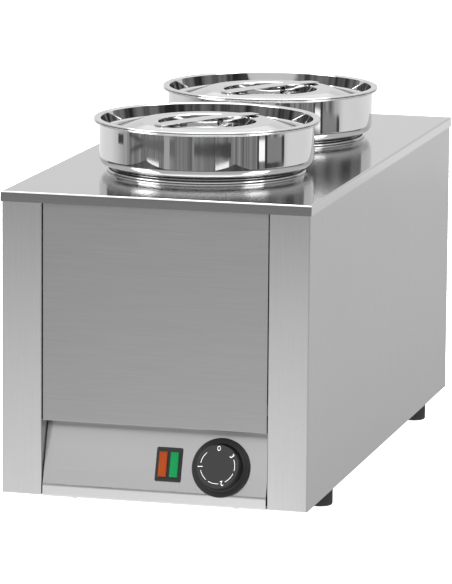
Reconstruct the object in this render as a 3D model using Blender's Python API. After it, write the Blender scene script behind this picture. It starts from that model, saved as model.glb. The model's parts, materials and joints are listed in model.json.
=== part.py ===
"""Counter-top soup kettle: a bain-marie with two round pots, each in its own heated well.

Metres, +Z up, front face towards -Y. The origin is on the table, under the middle of the casing.
"""

import math

import bmesh
import bpy
from mathutils import Matrix, Vector

# Driving dimensions
COVER_WIDTH = 0.285
COVER_DEPTH = 0.5908
CASING_HEIGHT = 0.2747
FOOT_HEIGHT = 0.0145
SHEET = 0.0008
GAP = 0.0003
POT_SPACING = 0.236
POT_RIM_RADIUS = 0.104
POT_RIM_RISE = 0.0487
WELL_DEPTH = 0.164
POT_DEPTH = 0.140

# Casing
COVER_SKIRT = 0.0093
COVER_OVERHANG = SHEET + GAP
CASING_HALF_WIDTH = COVER_WIDTH / 2 - COVER_OVERHANG
CASING_HALF_DEPTH = COVER_DEPTH / 2 - COVER_OVERHANG
CASING_BOTTOM = FOOT_HEIGHT
COVER_TOP = CASING_BOTTOM + CASING_HEIGHT
PANEL_TOP = COVER_TOP - SHEET - GAP
BEND = 0.0012
POST_WIDTH = 0.037
POST_RETURN = 0.018
REAR_RETURN = 0.020
BOTTOM_FLANGE = 0.026
OPENING_HALF_WIDTH = CASING_HALF_WIDTH - POST_WIDTH
SEAM = 0.0007
INSERT_HALF_WIDTH = OPENING_HALF_WIDTH - SEAM

# Front panel and leaning control fascia
PANEL_SETBACK = 0.0015
PANEL_BOTTOM = CASING_BOTTOM + 0.068
FASCIA_SETBACK = 0.020
FASCIA_FLANGE = 0.0095
FASCIA_FOOT_Y = -CASING_HALF_DEPTH + SHEET
FASCIA_TOP_Y = -CASING_HALF_DEPTH + FASCIA_SETBACK
FASCIA_FOOT_Z = CASING_BOTTOM + FASCIA_FLANGE
FASCIA_TOP_Z = PANEL_BOTTOM - SHEET
FASCIA_LEAN = math.atan2(FASCIA_TOP_Y - FASCIA_FOOT_Y, FASCIA_TOP_Z - FASCIA_FOOT_Z)
CONTROL_ROW = 0.025
FASCIA_SCREWS = {"left": (-0.075, FASCIA_FOOT_Y + 0.007), "right": (0.075, FASCIA_FOOT_Y + 0.007)}

# Controls, placed on the fascia
KNOB_X = 0.0604
KNOB_RADIUS = 0.02675
KNOB_HEIGHT = 0.0145
SHAFT_RADIUS = 0.003
SHAFT_CLEARANCE = 0.0001
LAMP_X = 0.0122
LAMP_WIDTH = 0.0241
LAMP_HEIGHT = 0.0308
LAMP_PROUD = 0.002
LENS_WIDTH = 0.0075
LENS_HEIGHT = 0.0226
LENS_PITCH = 0.0105
LENS_PROUD = 0.0036

# Wells and pots
POT_CENTRES = (("front", -POT_SPACING / 2), ("rear", POT_SPACING / 2))
WELL_HOLE_RADIUS = 0.0904
WELL_RADIUS = 0.0900
BEAD_RADIUS = 0.0913
BEAD_RISE = 0.003
RIM_THICKNESS = 0.0018
LID_RIM_THICKNESS = 0.0016
POT_WALL = 0.001
LID_WALL = 0.0008
LID_PLATEAU_DROP = 0.0032
LID_GUTTER_DROP = 0.012
DISH_RADIUS = 0.044
DISH_DEPTH = 0.014
HANDLE_LENGTH = 0.122
HANDLE_WIDTH = 0.017
HANDLE_END_WIDTH = 0.013
HANDLE_THICKNESS = 0.0012
HANDLE_ARCH = 0.0012
HANDLE_STRAIGHT = 0.80
HANDLE_TURN = math.radians(58)

# Pot outline below the rim
POT_BAND_RADIUS = 0.0989
POT_NECK_RADIUS = 0.0882
POT_FOOT_RADIUS = 0.0845
BAND_FOOT_RISE = 0.0138

# Feet
FOOT_RADIUS = 0.0115
FOOT_X = 0.1298
FOOT_Y = 0.197

# Fixings
SCREW_SHANK = 0.0018
SCREW_HOLE = 0.0023
FOOT_SCREW_SHANK = 0.0022
FOOT_SCREW_HOLE = 0.0028
REAR_SCREW_LEVELS = {"low": 0.040, "high": 0.235}
THROUGH = 0.004

# Heating
ELEMENT_RADIUS = 0.060
ELEMENT_TUBE = 0.00325
ELEMENT_LEG = 0.030
ELEMENT_OPENING = math.radians(16)
STUD_RADIUS = 0.0028
STUD_LENGTH = 0.020
BULB_RADIUS = 0.003
BULB_X = 0.026
BULB_HALF_LENGTH = 0.035
CAPILLARY_RADIUS = 0.0012
LEAD_RADIUS = 0.0016

# Supply, in the rear left corner
GLAND_X = -0.095
GLAND_LEVEL = 0.030
GLAND_BORE = 0.0042
GLAND_THREAD = 0.0078
SUPPLY_Y = 0.254
TERMINAL_PITCH = 0.013
EARTH_STUD_X = -0.020

# How finely round pieces are divided
LARGE_STEPS = 32
MEDIUM_STEPS = 20
SMALL_STEPS = 12

MATERIALS = {
    "brushed_steel": ((0.60, 0.60, 0.61), 0.34, 1.0),
    "polished_steel": ((0.76, 0.76, 0.77), 0.08, 1.0),
    "zinc_steel": ((0.45, 0.46, 0.46), 0.45, 1.0),
    "black_plastic": ((0.012, 0.012, 0.013), 0.38, 0.0),
    "black_rubber": ((0.010, 0.010, 0.010), 0.62, 0.0),
    "amber_lens": ((0.48, 0.10, 0.02), 0.30, 0.0),
    "green_lens": ((0.005, 0.29, 0.09), 0.30, 0.0),
    "lamp_glass": ((0.80, 0.72, 0.62), 0.10, 0.0),
    "ceramic_fibre": ((0.78, 0.77, 0.72), 0.95, 0.0),
    "copper_tube": ((0.55, 0.27, 0.15), 0.35, 1.0),
    "bakelite": ((0.07, 0.045, 0.03), 0.40, 0.0),
    "white_ceramic": ((0.80, 0.79, 0.75), 0.35, 0.0),
    "brown_lead": ((0.16, 0.06, 0.03), 0.45, 0.0),
    "blue_lead": ((0.03, 0.09, 0.35), 0.45, 0.0),
}


def clear_scene():
    for obj in list(bpy.data.objects):
        bpy.data.objects.remove(obj, do_unlink=True)


def make_material(name):
    colour, roughness, metallic = MATERIALS[name]
    material = bpy.data.materials.new(name)
    material.use_nodes = True
    shader = material.node_tree.nodes["Principled BSDF"]
    shader.inputs["Base Color"].default_value = (*colour, 1)
    shader.inputs["Roughness"].default_value = roughness
    shader.inputs["Metallic"].default_value = metallic
    material.diffuse_color = (*colour, 1)
    return material


def add_object(name, mesh, material=None, parent=None):
    obj = bpy.data.objects.new(name, mesh)
    bpy.context.scene.collection.objects.link(obj)
    obj.parent = parent
    if material:
        mesh.materials.append(bpy.data.materials.get(material) or make_material(material))
    return obj


def add_empty(name, location=(0, 0, 0), rotation=(0, 0, 0)):
    empty = bpy.data.objects.new(name, None)
    empty.location = location
    empty.rotation_euler = rotation
    bpy.context.scene.collection.objects.link(empty)
    return empty


def mesh_from(bm, name, smooth=False):
    """Closes a bmesh into a named mesh whose faces point outwards."""
    bmesh.ops.recalc_face_normals(bm, faces=bm.faces)
    mesh = bpy.data.meshes.new(name)
    bm.to_mesh(mesh)
    bm.free()
    if smooth:
        mesh.shade_smooth()
        mesh.set_sharp_from_angle(angle=math.radians(35))
    return mesh


def box_mesh(name, low, high):
    low, high = Vector(low), Vector(high)
    bm = bmesh.new()
    size = Matrix.Diagonal((*(high - low), 1))
    bmesh.ops.create_cube(bm, size=1, matrix=Matrix.Translation((low + high) / 2) @ size)
    return mesh_from(bm, name)


def add_box(name, low, high, material, parent=None):
    return add_object(name, box_mesh(name, low, high), material, parent)


def turned_mesh(name, outline, steps):
    """Turns a closed outline of (radius, height) points about Z. Points on the axis become poles."""
    bm = bmesh.new()
    rings = []
    for radius, height in outline:
        if radius == 0:
            rings.append([bm.verts.new((0, 0, height))] * steps)
            continue
        angles = (math.tau * step / steps for step in range(steps))
        rings.append([bm.verts.new((radius * math.cos(a), radius * math.sin(a), height)) for a in angles])
    for upper, lower in zip(rings, rings[1:] + rings[:1]):
        for step in range(steps):
            after = (step + 1) % steps
            corners = dict.fromkeys((upper[step], upper[after], lower[after], lower[step]))
            if len(corners) > 2:
                bm.faces.new(corners)
    return mesh_from(bm, name, smooth=True)


def add_turned(name, outline, material, steps=MEDIUM_STEPS, parent=None, location=(0, 0, 0)):
    obj = add_object(name, turned_mesh(name, outline, steps), material, parent)
    obj.location = location
    return obj


def rounded(points, radius, steps=2):
    """Replaces each inner corner of an open path by a short arc of the given radius."""
    points = [Vector(point) for point in points]
    path = [points[0]]
    for before, corner, after in zip(points, points[1:], points[2:]):
        arrive, leave = (before - corner).normalized(), (after - corner).normalized()
        half_turn = arrive.angle(leave) / 2
        reach = radius / math.tan(half_turn)
        centre = corner + (arrive + leave).normalized() * (radius / math.sin(half_turn))
        start, end = corner + arrive * reach - centre, corner + leave * reach - centre
        for step in range(steps + 1):
            path.append(centre + start.slerp(end, step / steps).normalized() * radius)
    path.append(points[-1])
    return path


def thickened(path, thickness):
    """The closed outline of a sheet whose visible side is this path and whose body lies to its left."""
    path = [Vector(point) for point in path]
    runs = [(after - before).normalized() for before, after in zip(path, path[1:])]
    sides = [Vector((-run.y, run.x)) for run in runs]
    inner = []
    for point, before, after in zip(path, sides[:1] + sides, sides + sides[-1:]):
        mitre = (before + after).normalized()
        inner.append(point + mitre * (thickness / mitre.dot(after)))
    return path + inner[::-1]


def extruded_mesh(name, outline, start, end, to_space):
    """Extrudes a closed 2-D outline from start to end. to_space(u, v, along) gives each point."""
    bm = bmesh.new()
    near = [bm.verts.new(to_space(u, v, start)) for u, v in outline]
    far = [bm.verts.new(to_space(u, v, end)) for u, v in outline]
    bm.faces.new(near)
    bm.faces.new(far[::-1])
    for index in range(len(outline)):
        after = (index + 1) % len(outline)
        bm.faces.new((near[index], near[after], far[after], far[index]))
    return mesh_from(bm, name, smooth=True)


def add_tube(name, points, radius, material, roundness=2):
    """A round bar or wire along these points, with flat ends."""
    curve = bpy.data.curves.new(name, "CURVE")
    curve.dimensions = "3D"
    curve.bevel_depth = radius
    curve.bevel_resolution = roundness
    curve.use_fill_caps = True
    spline = curve.splines.new("POLY")
    spline.points.add(len(points) - 1)
    for target, point in zip(spline.points, points):
        target.co = (*point, 1)
    return add_object(name, curve, material)


def smooth_route(points, per_span=4):
    """Points on a Catmull-Rom curve through the given ones."""
    points = [Vector(point) for point in points]
    padded = [points[0] * 2 - points[1], *points, points[-1] * 2 - points[-2]]
    route = []
    for p0, p1, p2, p3 in zip(padded, padded[1:], padded[2:], padded[3:]):
        for step in range(per_span):
            t = step / per_span
            bend = (2 * p0 - 5 * p1 + 4 * p2 - p3) * t**2 + (3 * p1 - p0 - 3 * p2 + p3) * t**3
            route.append((2 * p1 + (p2 - p0) * t + bend) / 2)
    return [*route, points[-1]]


def combine(target, helper, operation):
    """Adds an EXACT Boolean of a hidden helper to a piece."""
    helper.hide_render = True
    helper.display_type = "WIRE"
    modifier = target.modifiers.new(f"{operation.lower()} {helper.name}", "BOOLEAN")
    modifier.operation = operation
    modifier.solver = "EXACT"
    modifier.object = helper


def cut_box(target, name, low, high, parent=None):
    combine(target, add_box(name, low, high, None, parent), "DIFFERENCE")


def cut_round(target, name, radius, low, high, parent=None, location=(0, 0, 0), steps=MEDIUM_STEPS):
    outline = ((0, high), (radius, high), (radius, low), (0, low))
    combine(target, add_turned(name, outline, None, steps, parent, location), "DIFFERENCE")


def cut_slots(target, name, slots):
    """Cuts a row of straight slots in one go. Each slot is (centre, half size) along two axes."""
    bm = bmesh.new()
    for centre, half_size in slots:
        size = Matrix.Diagonal((*(2 * Vector(half_size)), 1))
        bmesh.ops.create_cube(bm, size=1, matrix=Matrix.Translation(centre) @ size)
    combine(target, add_object(name, mesh_from(bm, name)), "DIFFERENCE")


def make_top_cover():
    x, y = COVER_WIDTH / 2, COVER_DEPTH / 2
    low = COVER_TOP - COVER_SKIRT
    cover = add_box("top_cover", (-x, -y, low), (x, y, COVER_TOP), "brushed_steel")
    hollow = add_box(
        "cover_hollow",
        (SHEET - x, SHEET - y, low - SHEET),
        (x - SHEET, y - SHEET, COVER_TOP - SHEET),
        None,
    )
    combine(cover, hollow, "DIFFERENCE")
    for place, centre_y in POT_CENTRES:
        low_cut, high_cut = COVER_TOP - 2 * SHEET, COVER_TOP + SHEET
        where = (0, centre_y, 0)
        cut_round(cover, f"cover_hole_{place}", WELL_HOLE_RADIUS, low_cut, high_cut, None, where, LARGE_STEPS)


def make_side_panel(name, side):
    """A sheet folded round the front corner into a post, with a return flange behind and one below."""
    x, y = CASING_HALF_WIDTH, CASING_HALF_DEPTH
    fold = rounded(
        (
            (OPENING_HALF_WIDTH, POST_RETURN - y),
            (OPENING_HALF_WIDTH, -y),
            (x, -y),
            (x, y),
            (x - REAR_RETURN, y),
        ),
        BEND,
    )
    outline = thickened(fold, SHEET)
    mesh = extruded_mesh(name, outline, CASING_BOTTOM, PANEL_TOP, lambda u, v, along: (side * u, v, along))
    panel = add_object(name, mesh, "brushed_steel")
    edges = sorted((side * (x - BOTTOM_FLANGE), side * (x - SHEET / 2)))
    flange = add_box(
        f"{name}_flange",
        (edges[0], SHEET / 2 - y, CASING_BOTTOM),
        (edges[1], y - SHEET / 2, CASING_BOTTOM + SHEET),
        None,
    )
    combine(panel, flange, "UNION")


def across_front(u, v, along):
    """Places a side-view outline that runs from left to right across the front."""
    return along, u, v


def make_front_panel():
    y = -CASING_HALF_DEPTH + PANEL_SETBACK
    fold = rounded(
        ((FASCIA_TOP_Y - SHEET / 2, PANEL_BOTTOM), (y, PANEL_BOTTOM), (y, PANEL_TOP), (y + 0.012, PANEL_TOP)),
        BEND,
    )
    outline = thickened(fold[::-1], SHEET)
    mesh = extruded_mesh("front_panel", outline, -INSERT_HALF_WIDTH, INSERT_HALF_WIDTH, across_front)
    add_object("front_panel", mesh, "brushed_steel")


def make_fascia(on_fascia):
    hem = 0.0145
    fold = rounded(
        (
            (FASCIA_TOP_Y, PANEL_BOTTOM + 0.012),
            (FASCIA_TOP_Y, FASCIA_TOP_Z),
            (FASCIA_FOOT_Y, FASCIA_FOOT_Z),
            (FASCIA_FOOT_Y, CASING_BOTTOM),
            (FASCIA_FOOT_Y + hem, CASING_BOTTOM),
        ),
        BEND,
    )
    outline = thickened(fold, SHEET)
    mesh = extruded_mesh("control_fascia", outline, -INSERT_HALF_WIDTH, INSERT_HALF_WIDTH, across_front)
    fascia = add_object("control_fascia", mesh, "brushed_steel")
    half = Vector((LAMP_WIDTH / 2 - 0.001, LAMP_HEIGHT / 2 - 0.001))
    low = (LAMP_X - half.x, CONTROL_ROW - half.y, -THROUGH)
    high = (LAMP_X + half.x, CONTROL_ROW + half.y, THROUGH)
    cut_box(fascia, "fascia_lamp_hole", low, high, on_fascia)
    shaft_hole = SHAFT_RADIUS + 0.0018
    cut_round(fascia, "fascia_shaft_hole", shaft_hole, -THROUGH, THROUGH, on_fascia, (KNOB_X, CONTROL_ROW, 0))
    for side, (x, y) in FASCIA_SCREWS.items():
        where = (x, y, CASING_BOTTOM)
        name = f"fascia_foot_hole_{side}"
        cut_round(fascia, name, SCREW_HOLE, -THROUGH / 2, THROUGH / 2, None, where, SMALL_STEPS)
        outline = (
            (0, 0.010),
            (SCREW_SHANK, 0.010),
            (SCREW_SHANK, -GAP),
            (0.0036, -GAP),
            (0.0032, -0.0020),
            (0, -0.0024),
        )
        add_turned(f"fascia_screw_{side}", outline, "zinc_steel", SMALL_STEPS, None, where)


def make_rear_panel():
    x = CASING_HALF_WIDTH - SHEET - 2 * GAP
    y = CASING_HALF_DEPTH - SHEET - GAP
    low_z, high_z = CASING_BOTTOM + 0.002, PANEL_TOP - GAP
    panel = add_box("rear_panel", (-x, y - SHEET, low_z), (x, y, high_z), "brushed_steel")
    slots = [
        ((column * 0.050, y, CASING_BOTTOM + 0.180 + row * 0.011), (0.019, 0.005, 0.0022))
        for row in range(5)
        for column in (-1, 0, 1)
    ]
    cut_slots(panel, "rear_vents", slots)
    for side, x in (("left", -1), ("right", 1)):
        for height, level in REAR_SCREW_LEVELS.items():
            where = (x * (CASING_HALF_WIDTH - REAR_RETURN / 2), y, CASING_BOTTOM + level)
            sheets = (panel, bpy.data.objects[f"side_panel_{side}"])
            add_rear_screw(f"rear_screw_{height}_{side}", where, sheets)
    return panel, y


def add_rear_screw(name, where, sheets):
    """A pan-head screw through both sheets: its head stands on the return flange and its point is inside."""
    outline = (
        (0, 0.0020),
        (0.0026, 0.0016),
        (0.0034, GAP),
        (SCREW_SHANK, GAP),
        (SCREW_SHANK, -0.007),
        (0, -0.008),
    )
    x, y, z = where
    screw = add_turned(name, outline, "zinc_steel", SMALL_STEPS, None, (x, CASING_HALF_DEPTH, z))
    screw.rotation_euler.x = math.radians(-90)
    hole = ((0, THROUGH), (SCREW_HOLE, THROUGH), (SCREW_HOLE, -THROUGH), (0, -THROUGH))
    for sheet in sheets:
        cutter = add_turned(f"{name}_hole_{sheet.name}", hole, None, SMALL_STEPS, None, where)
        cutter.rotation_euler.x = math.radians(90)
        combine(sheet, cutter, "DIFFERENCE")


def make_base_plate():
    x = CASING_HALF_WIDTH - SHEET - 2 * GAP
    y = CASING_HALF_DEPTH - 2 * SHEET - 2 * GAP
    low = CASING_BOTTOM + SHEET + GAP
    front = POST_RETURN + GAP - CASING_HALF_DEPTH
    plate = add_box("base_plate", (-x, front, low), (x, y - SHEET, low + SHEET), "zinc_steel")
    tongue_x = INSERT_HALF_WIDTH - SEAM
    tongue_low = (-tongue_x, FASCIA_FOOT_Y + BEND + SHEET, low)
    tongue = add_box("base_tongue", tongue_low, (tongue_x, front + 0.005, low + SHEET), None)
    combine(plate, tongue, "UNION")
    for side, (x_hole, y_hole) in FASCIA_SCREWS.items():
        where = (x_hole, y_hole, low)
        name = f"base_screw_hole_{side}"
        cut_round(plate, name, SCREW_HOLE, -THROUGH / 2, THROUGH / 2, None, where, SMALL_STEPS)
    slots = [
        ((column * 0.036, centre_y + row * 0.010, low), (0.014, 0.0018, 0.004))
        for _, centre_y in POT_CENTRES
        for row in (-2, -1, 0, 1, 2)
        for column in (-1, 0, 1)
    ]
    cut_slots(plate, "base_vents", slots)
    return plate, low


def make_feet(plate, plate_low):
    bore, recess, recess_depth = FOOT_SCREW_HOLE, 0.0052, 0.009
    foot_top = FOOT_HEIGHT - GAP
    foot = (
        (FOOT_RADIUS, foot_top),
        (FOOT_RADIUS, 0.0016),
        (FOOT_RADIUS - 0.0012, 0),
        (recess, 0),
        (recess, recess_depth),
        (bore, recess_depth),
        (bore, foot_top),
    )
    screw_tip = plate_low + SHEET + 0.006
    screw = (
        (0, screw_tip),
        (FOOT_SCREW_SHANK, screw_tip),
        (FOOT_SCREW_SHANK, recess_depth - GAP),
        (0.0045, recess_depth - GAP),
        (0.0040, recess_depth - 0.0030),
        (0, recess_depth - 0.0034),
    )
    for end, y in (("front", -FOOT_Y), ("rear", FOOT_Y)):
        for side, x in (("left", -FOOT_X), ("right", FOOT_X)):
            where = (x, y, 0)
            add_turned(f"foot_{end}_{side}", foot, "black_rubber", MEDIUM_STEPS, None, where)
            add_turned(f"foot_screw_{end}_{side}", screw, "zinc_steel", SMALL_STEPS, None, where)
            for target in (plate, bpy.data.objects[f"side_panel_{side}"]):
                name = f"foot_hole_{end}_{side}_{target.name}"
                low_cut, high_cut = foot_top - THROUGH, foot_top + 2 * THROUGH
                cut_round(target, name, bore, low_cut, high_cut, None, where, SMALL_STEPS)


def make_well(place, centre_y):
    """A deep-drawn tub that hangs in the cover by a rolled bead, with a welded stud underneath."""
    floor, corner = -WELL_DEPTH, 0.006
    inner = WELL_RADIUS - SHEET
    bead_mid = (BEAD_RADIUS + inner) / 2
    bead_half = (BEAD_RADIUS - inner) / 2
    bead = [
        (bead_mid + bead_half * math.cos(angle), BEAD_RISE - bead_half + bead_half * math.sin(angle))
        for angle in (math.radians(45 * step) for step in range(5))
    ]
    outline = [
        (BEAD_RADIUS, GAP),
        *bead,
        (inner, floor + corner),
        (inner - corner * 0.3, floor + corner * 0.3),
        (inner - corner, floor),
        (0, floor),
        (0, floor - STUD_LENGTH),
        (STUD_RADIUS, floor - STUD_LENGTH),
        (STUD_RADIUS, floor - SHEET),
        (inner - corner, floor - SHEET),
        (WELL_RADIUS - corner * 0.3, floor + corner * 0.2),
        (WELL_RADIUS, floor + corner),
        (WELL_RADIUS, GAP),
    ]
    where = (0, centre_y, COVER_TOP)
    add_turned(f"well_{place}", outline, "brushed_steel", LARGE_STEPS, None, where)
    bore, outside, top, foot = WELL_RADIUS + 0.002, 0.106, -0.018, -0.160
    jacket = ((outside, top), (outside, foot), (bore, foot), (bore, top))
    add_turned(f"insulation_{place}", jacket, "ceramic_fibre", LARGE_STEPS, None, where)
    make_heater(place, centre_y, COVER_TOP + floor - SHEET)


def make_heater(place, centre_y, under_well):
    """A tubular element on the well's underside, held by a bar on the welded stud."""
    level = under_well - GAP - ELEMENT_TUBE
    steps = LARGE_STEPS - 4
    turns = [ELEMENT_OPENING + (math.tau - 2 * ELEMENT_OPENING) * step / steps for step in range(steps + 1)]
    loop = [(ELEMENT_RADIUS * math.cos(a), ELEMENT_RADIUS * math.sin(a), 0) for a in turns]
    reach = ELEMENT_RADIUS * math.sin(ELEMENT_OPENING)
    leg_x = ELEMENT_RADIUS + 0.010
    start = [(leg_x, reach, -ELEMENT_LEG), (leg_x, reach, -0.008), (leg_x - 0.004, reach, -0.001)]
    end = [(x, -y, z) for x, y, z in reversed(start)]
    element = add_tube(f"heating_element_{place}", [*start, *loop, *end], ELEMENT_TUBE, "zinc_steel")
    element.location = (0, centre_y, level)
    bar_top = level - ELEMENT_TUBE - GAP
    bar_half_width, bar_half_length, bar_thickness = 0.010, ELEMENT_RADIUS + 0.010, 0.002
    bar = add_box(
        f"element_bar_{place}",
        (-bar_half_width, centre_y - bar_half_length, bar_top - bar_thickness),
        (bar_half_width, centre_y + bar_half_length, bar_top),
        "zinc_steel",
    )
    bar_hole, where = STUD_RADIUS + 0.0004, (0, centre_y, bar_top)
    cut_round(bar, f"element_bar_hole_{place}", bar_hole, -THROUGH, THROUGH, None, where, SMALL_STEPS)
    nut_radius, nut_bore, nut_foot = 0.0058, STUD_RADIUS + GAP, -0.0053
    nut = ((nut_radius, -GAP), (nut_radius, nut_foot), (nut_bore, nut_foot), (nut_bore, -GAP))
    where = (0, centre_y, bar_top - bar_thickness)
    add_turned(f"element_nut_{place}", nut, "zinc_steel", SMALL_STEPS, None, where)
    head, body, step, foot = 0.0085, 0.006, -0.006, -0.015
    cutout = ((0, -GAP), (head, -GAP), (head, step), (body, step), (body, foot), (0, foot))
    where = (-0.6 * ELEMENT_RADIUS, centre_y, under_well)
    add_turned(f"overheat_cutout_{place}", cutout, "bakelite", SMALL_STEPS, None, where)


def make_pot(place, centre_y):
    """A pot that hangs on the well's bead: a wide band above, a drawn body below."""
    rim_top = POT_RIM_RISE - LID_RIM_THICKNESS - GAP
    band, neck, foot, corner = POT_BAND_RADIUS, POT_NECK_RADIUS, POT_FOOT_RADIUS, 0.010
    base = -POT_DEPTH
    outer = [
        (POT_RIM_RADIUS, rim_top - RIM_THICKNESS),
        (band + 0.0008, rim_top - RIM_THICKNESS),
        (band, rim_top - RIM_THICKNESS - 0.001),
        (band, BAND_FOOT_RISE),
        (band - 0.0018, 0.0090),
        (0.0935, 0.0060),
        (0.0903, 0.0041),
        (0.0892, 0.0030),
        (neck, 0),
        (foot, base + corner),
        (foot - corner * 0.3, base + corner * 0.3),
        (foot - corner, base),
        (0, base),
    ]
    inner = [
        (0, base + POT_WALL),
        (foot - corner, base + POT_WALL),
        (foot - corner * 0.3 - POT_WALL * 0.7, base + corner * 0.3 + POT_WALL * 0.7),
        (foot - POT_WALL, base + corner),
        (neck - POT_WALL, POT_WALL * 0.4),
        (0.0885, 0.0041),
        (0.0931, 0.0070),
        (band - 0.0026, 0.0097),
        (band - POT_WALL, BAND_FOOT_RISE + 0.0004),
        (band - POT_WALL, rim_top - 0.0028),
        (band + 0.0010, rim_top),
        (POT_RIM_RADIUS, rim_top),
    ]
    where = (0, centre_y, COVER_TOP)
    add_turned(f"pot_{place}", [*outer, *inner], "polished_steel", LARGE_STEPS, None, where)


def lid_surface():
    """The lid's upper side from the rim to the middle: gutter, cone, flat ring, sunken dish."""
    plateau = POT_RIM_RISE - LID_PLATEAU_DROP
    gutter = POT_RIM_RISE - LID_GUTTER_DROP
    return [
        (POT_RIM_RADIUS, POT_RIM_RISE),
        (0.0982, POT_RIM_RISE),
        (0.0962, POT_RIM_RISE - 0.0024),
        (0.0955, gutter + 0.0025),
        (0.0937, gutter),
        (0.0900, gutter + 0.0004),
        (0.0610, plateau),
        (DISH_RADIUS + 0.0022, plateau),
        (DISH_RADIUS + 0.0004, plateau - 0.0010),
        (DISH_RADIUS - 0.0008, plateau - DISH_DEPTH + 0.0025),
        (DISH_RADIUS - 0.0035, plateau - DISH_DEPTH),
        (0, plateau - DISH_DEPTH),
    ]


def make_lid(place, centre_y):
    upper = [Vector(point) for point in lid_surface()]
    under = [Vector(point) for point in thickened(upper[1:], LID_WALL)[len(upper) - 1 :]]
    under[0].x = 0
    edge = POT_RIM_RISE - LID_RIM_THICKNESS
    rim = [(0.0990, edge), (POT_RIM_RADIUS, edge)]
    outline = [*[tuple(point) for point in upper], *[tuple(point) for point in under[:-1]], *rim]
    where = (0, centre_y, COVER_TOP)
    add_turned(f"lid_{place}", outline, "polished_steel", LARGE_STEPS, None, where)
    add_handle(f"lid_handle_{place}", centre_y)


def add_handle(name, centre_y):
    """A flat strap welded across the dish: slightly arched, and narrower at its ends."""
    rows, half_length = 12, HANDLE_LENGTH / 2
    plateau = COVER_TOP + POT_RIM_RISE - LID_PLATEAU_DROP
    bm = bmesh.new()
    rings = []
    for row in range(rows + 1):
        along = half_length * (2 * row / rows - 1)
        near_end = max(0, abs(along) / half_length - HANDLE_STRAIGHT) / (1 - HANDLE_STRAIGHT)
        half_width = (HANDLE_WIDTH + (HANDLE_END_WIDTH - HANDLE_WIDTH) * near_end) / 2
        rise = HANDLE_ARCH * (1 - (along / half_length) ** 2) + GAP
        corners = ((-half_width, rise), (half_width, rise))
        low = [bm.verts.new((along, across, height)) for across, height in corners]
        high = [bm.verts.new((along, across, height + HANDLE_THICKNESS)) for across, height in corners]
        rings.append((low[0], low[1], high[1], high[0]))
    for near, far in zip(rings, rings[1:]):
        for index in range(4):
            after = (index + 1) % 4
            bm.faces.new((near[index], near[after], far[after], far[index]))
    bm.faces.new(rings[0])
    bm.faces.new(rings[-1][::-1])
    handle = add_object(name, mesh_from(bm, name, smooth=True), "polished_steel")
    handle.location = (0, centre_y, plateau)
    handle.rotation_euler.z = HANDLE_TURN


def make_knob(on_fascia):
    clearance, cap, bore_depth = 0.0006, 0.0204, 0.0105
    outline = (
        (0, KNOB_HEIGHT),
        (cap - 0.0018, KNOB_HEIGHT),
        (cap - 0.0006, KNOB_HEIGHT - 0.0012),
        (cap, 0.0040),
        (KNOB_RADIUS - 0.0010, 0.0030),
        (KNOB_RADIUS, 0.0020),
        (KNOB_RADIUS, clearance),
        (SHAFT_RADIUS + GAP, clearance),
        (SHAFT_RADIUS + GAP, bore_depth),
        (0, bore_depth),
    )
    turning = add_empty("knob_axis", (KNOB_X, CONTROL_ROW, 0))
    turning.parent = on_fascia
    add_turned("control_knob", outline, "black_plastic", LARGE_STEPS, turning)
    shaft = ((0, 0.0100), (SHAFT_RADIUS, 0.0100), (SHAFT_RADIUS, -0.0080), (0, -0.0080))
    add_turned("thermostat_shaft", shaft, "zinc_steel", MEDIUM_STEPS, turning)


def make_thermostat(on_fascia):
    behind = -SHEET - GAP
    low = (KNOB_X - 0.021, CONTROL_ROW - 0.019, behind - 0.026)
    high = (KNOB_X + 0.021, CONTROL_ROW + 0.023, behind)
    body = add_box("thermostat_body", low, high, "bakelite", on_fascia)
    bore = SHAFT_RADIUS + SHAFT_CLEARANCE
    where = (KNOB_X, CONTROL_ROW, 0)
    cut_round(body, "thermostat_bore", bore, -0.0095, 0.004, on_fascia, where, MEDIUM_STEPS)


def make_lamp(on_fascia):
    half_width, half_height = LAMP_WIDTH / 2, LAMP_HEIGHT / 2
    wall = 0.0014
    bezel = add_box(
        "lamp_bezel",
        (LAMP_X - half_width, CONTROL_ROW - half_height, GAP),
        (LAMP_X + half_width, CONTROL_ROW + half_height, LAMP_PROUD),
        "black_plastic",
        on_fascia,
    )
    body = add_box(
        "lamp_housing_block",
        (LAMP_X - half_width + wall, CONTROL_ROW - half_height + wall, -0.024),
        (LAMP_X + half_width - wall, CONTROL_ROW + half_height - wall, LAMP_PROUD / 2),
        None,
        on_fascia,
    )
    combine(bezel, body, "UNION")
    for colour, side in (("amber", -1), ("green", 1)):
        x = LAMP_X + side * LENS_PITCH / 2
        half = Vector((LENS_WIDTH / 2, LENS_HEIGHT / 2))
        pocket_low = (x - half.x - GAP, CONTROL_ROW - half.y - GAP, -0.021)
        pocket_high = (x + half.x + GAP, CONTROL_ROW + half.y + GAP, 0.01)
        cut_box(bezel, f"lamp_pocket_{colour}", pocket_low, pocket_high, on_fascia)
        low = (x - half.x, CONTROL_ROW - half.y, -0.003)
        high = (x + half.x, CONTROL_ROW + half.y, LENS_PROUD)
        add_box(f"lamp_lens_{colour}", low, high, f"{colour}_lens", on_fascia)
        bulb = ((0, 0.007), (0.0020, 0.0055), (0.0026, 0.003), (0.0026, -0.008), (0, -0.008))
        neon = add_turned(f"neon_lamp_{colour}", bulb, "lamp_glass", SMALL_STEPS, on_fascia)
        neon.location = (x, CONTROL_ROW, -0.0115)


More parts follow.
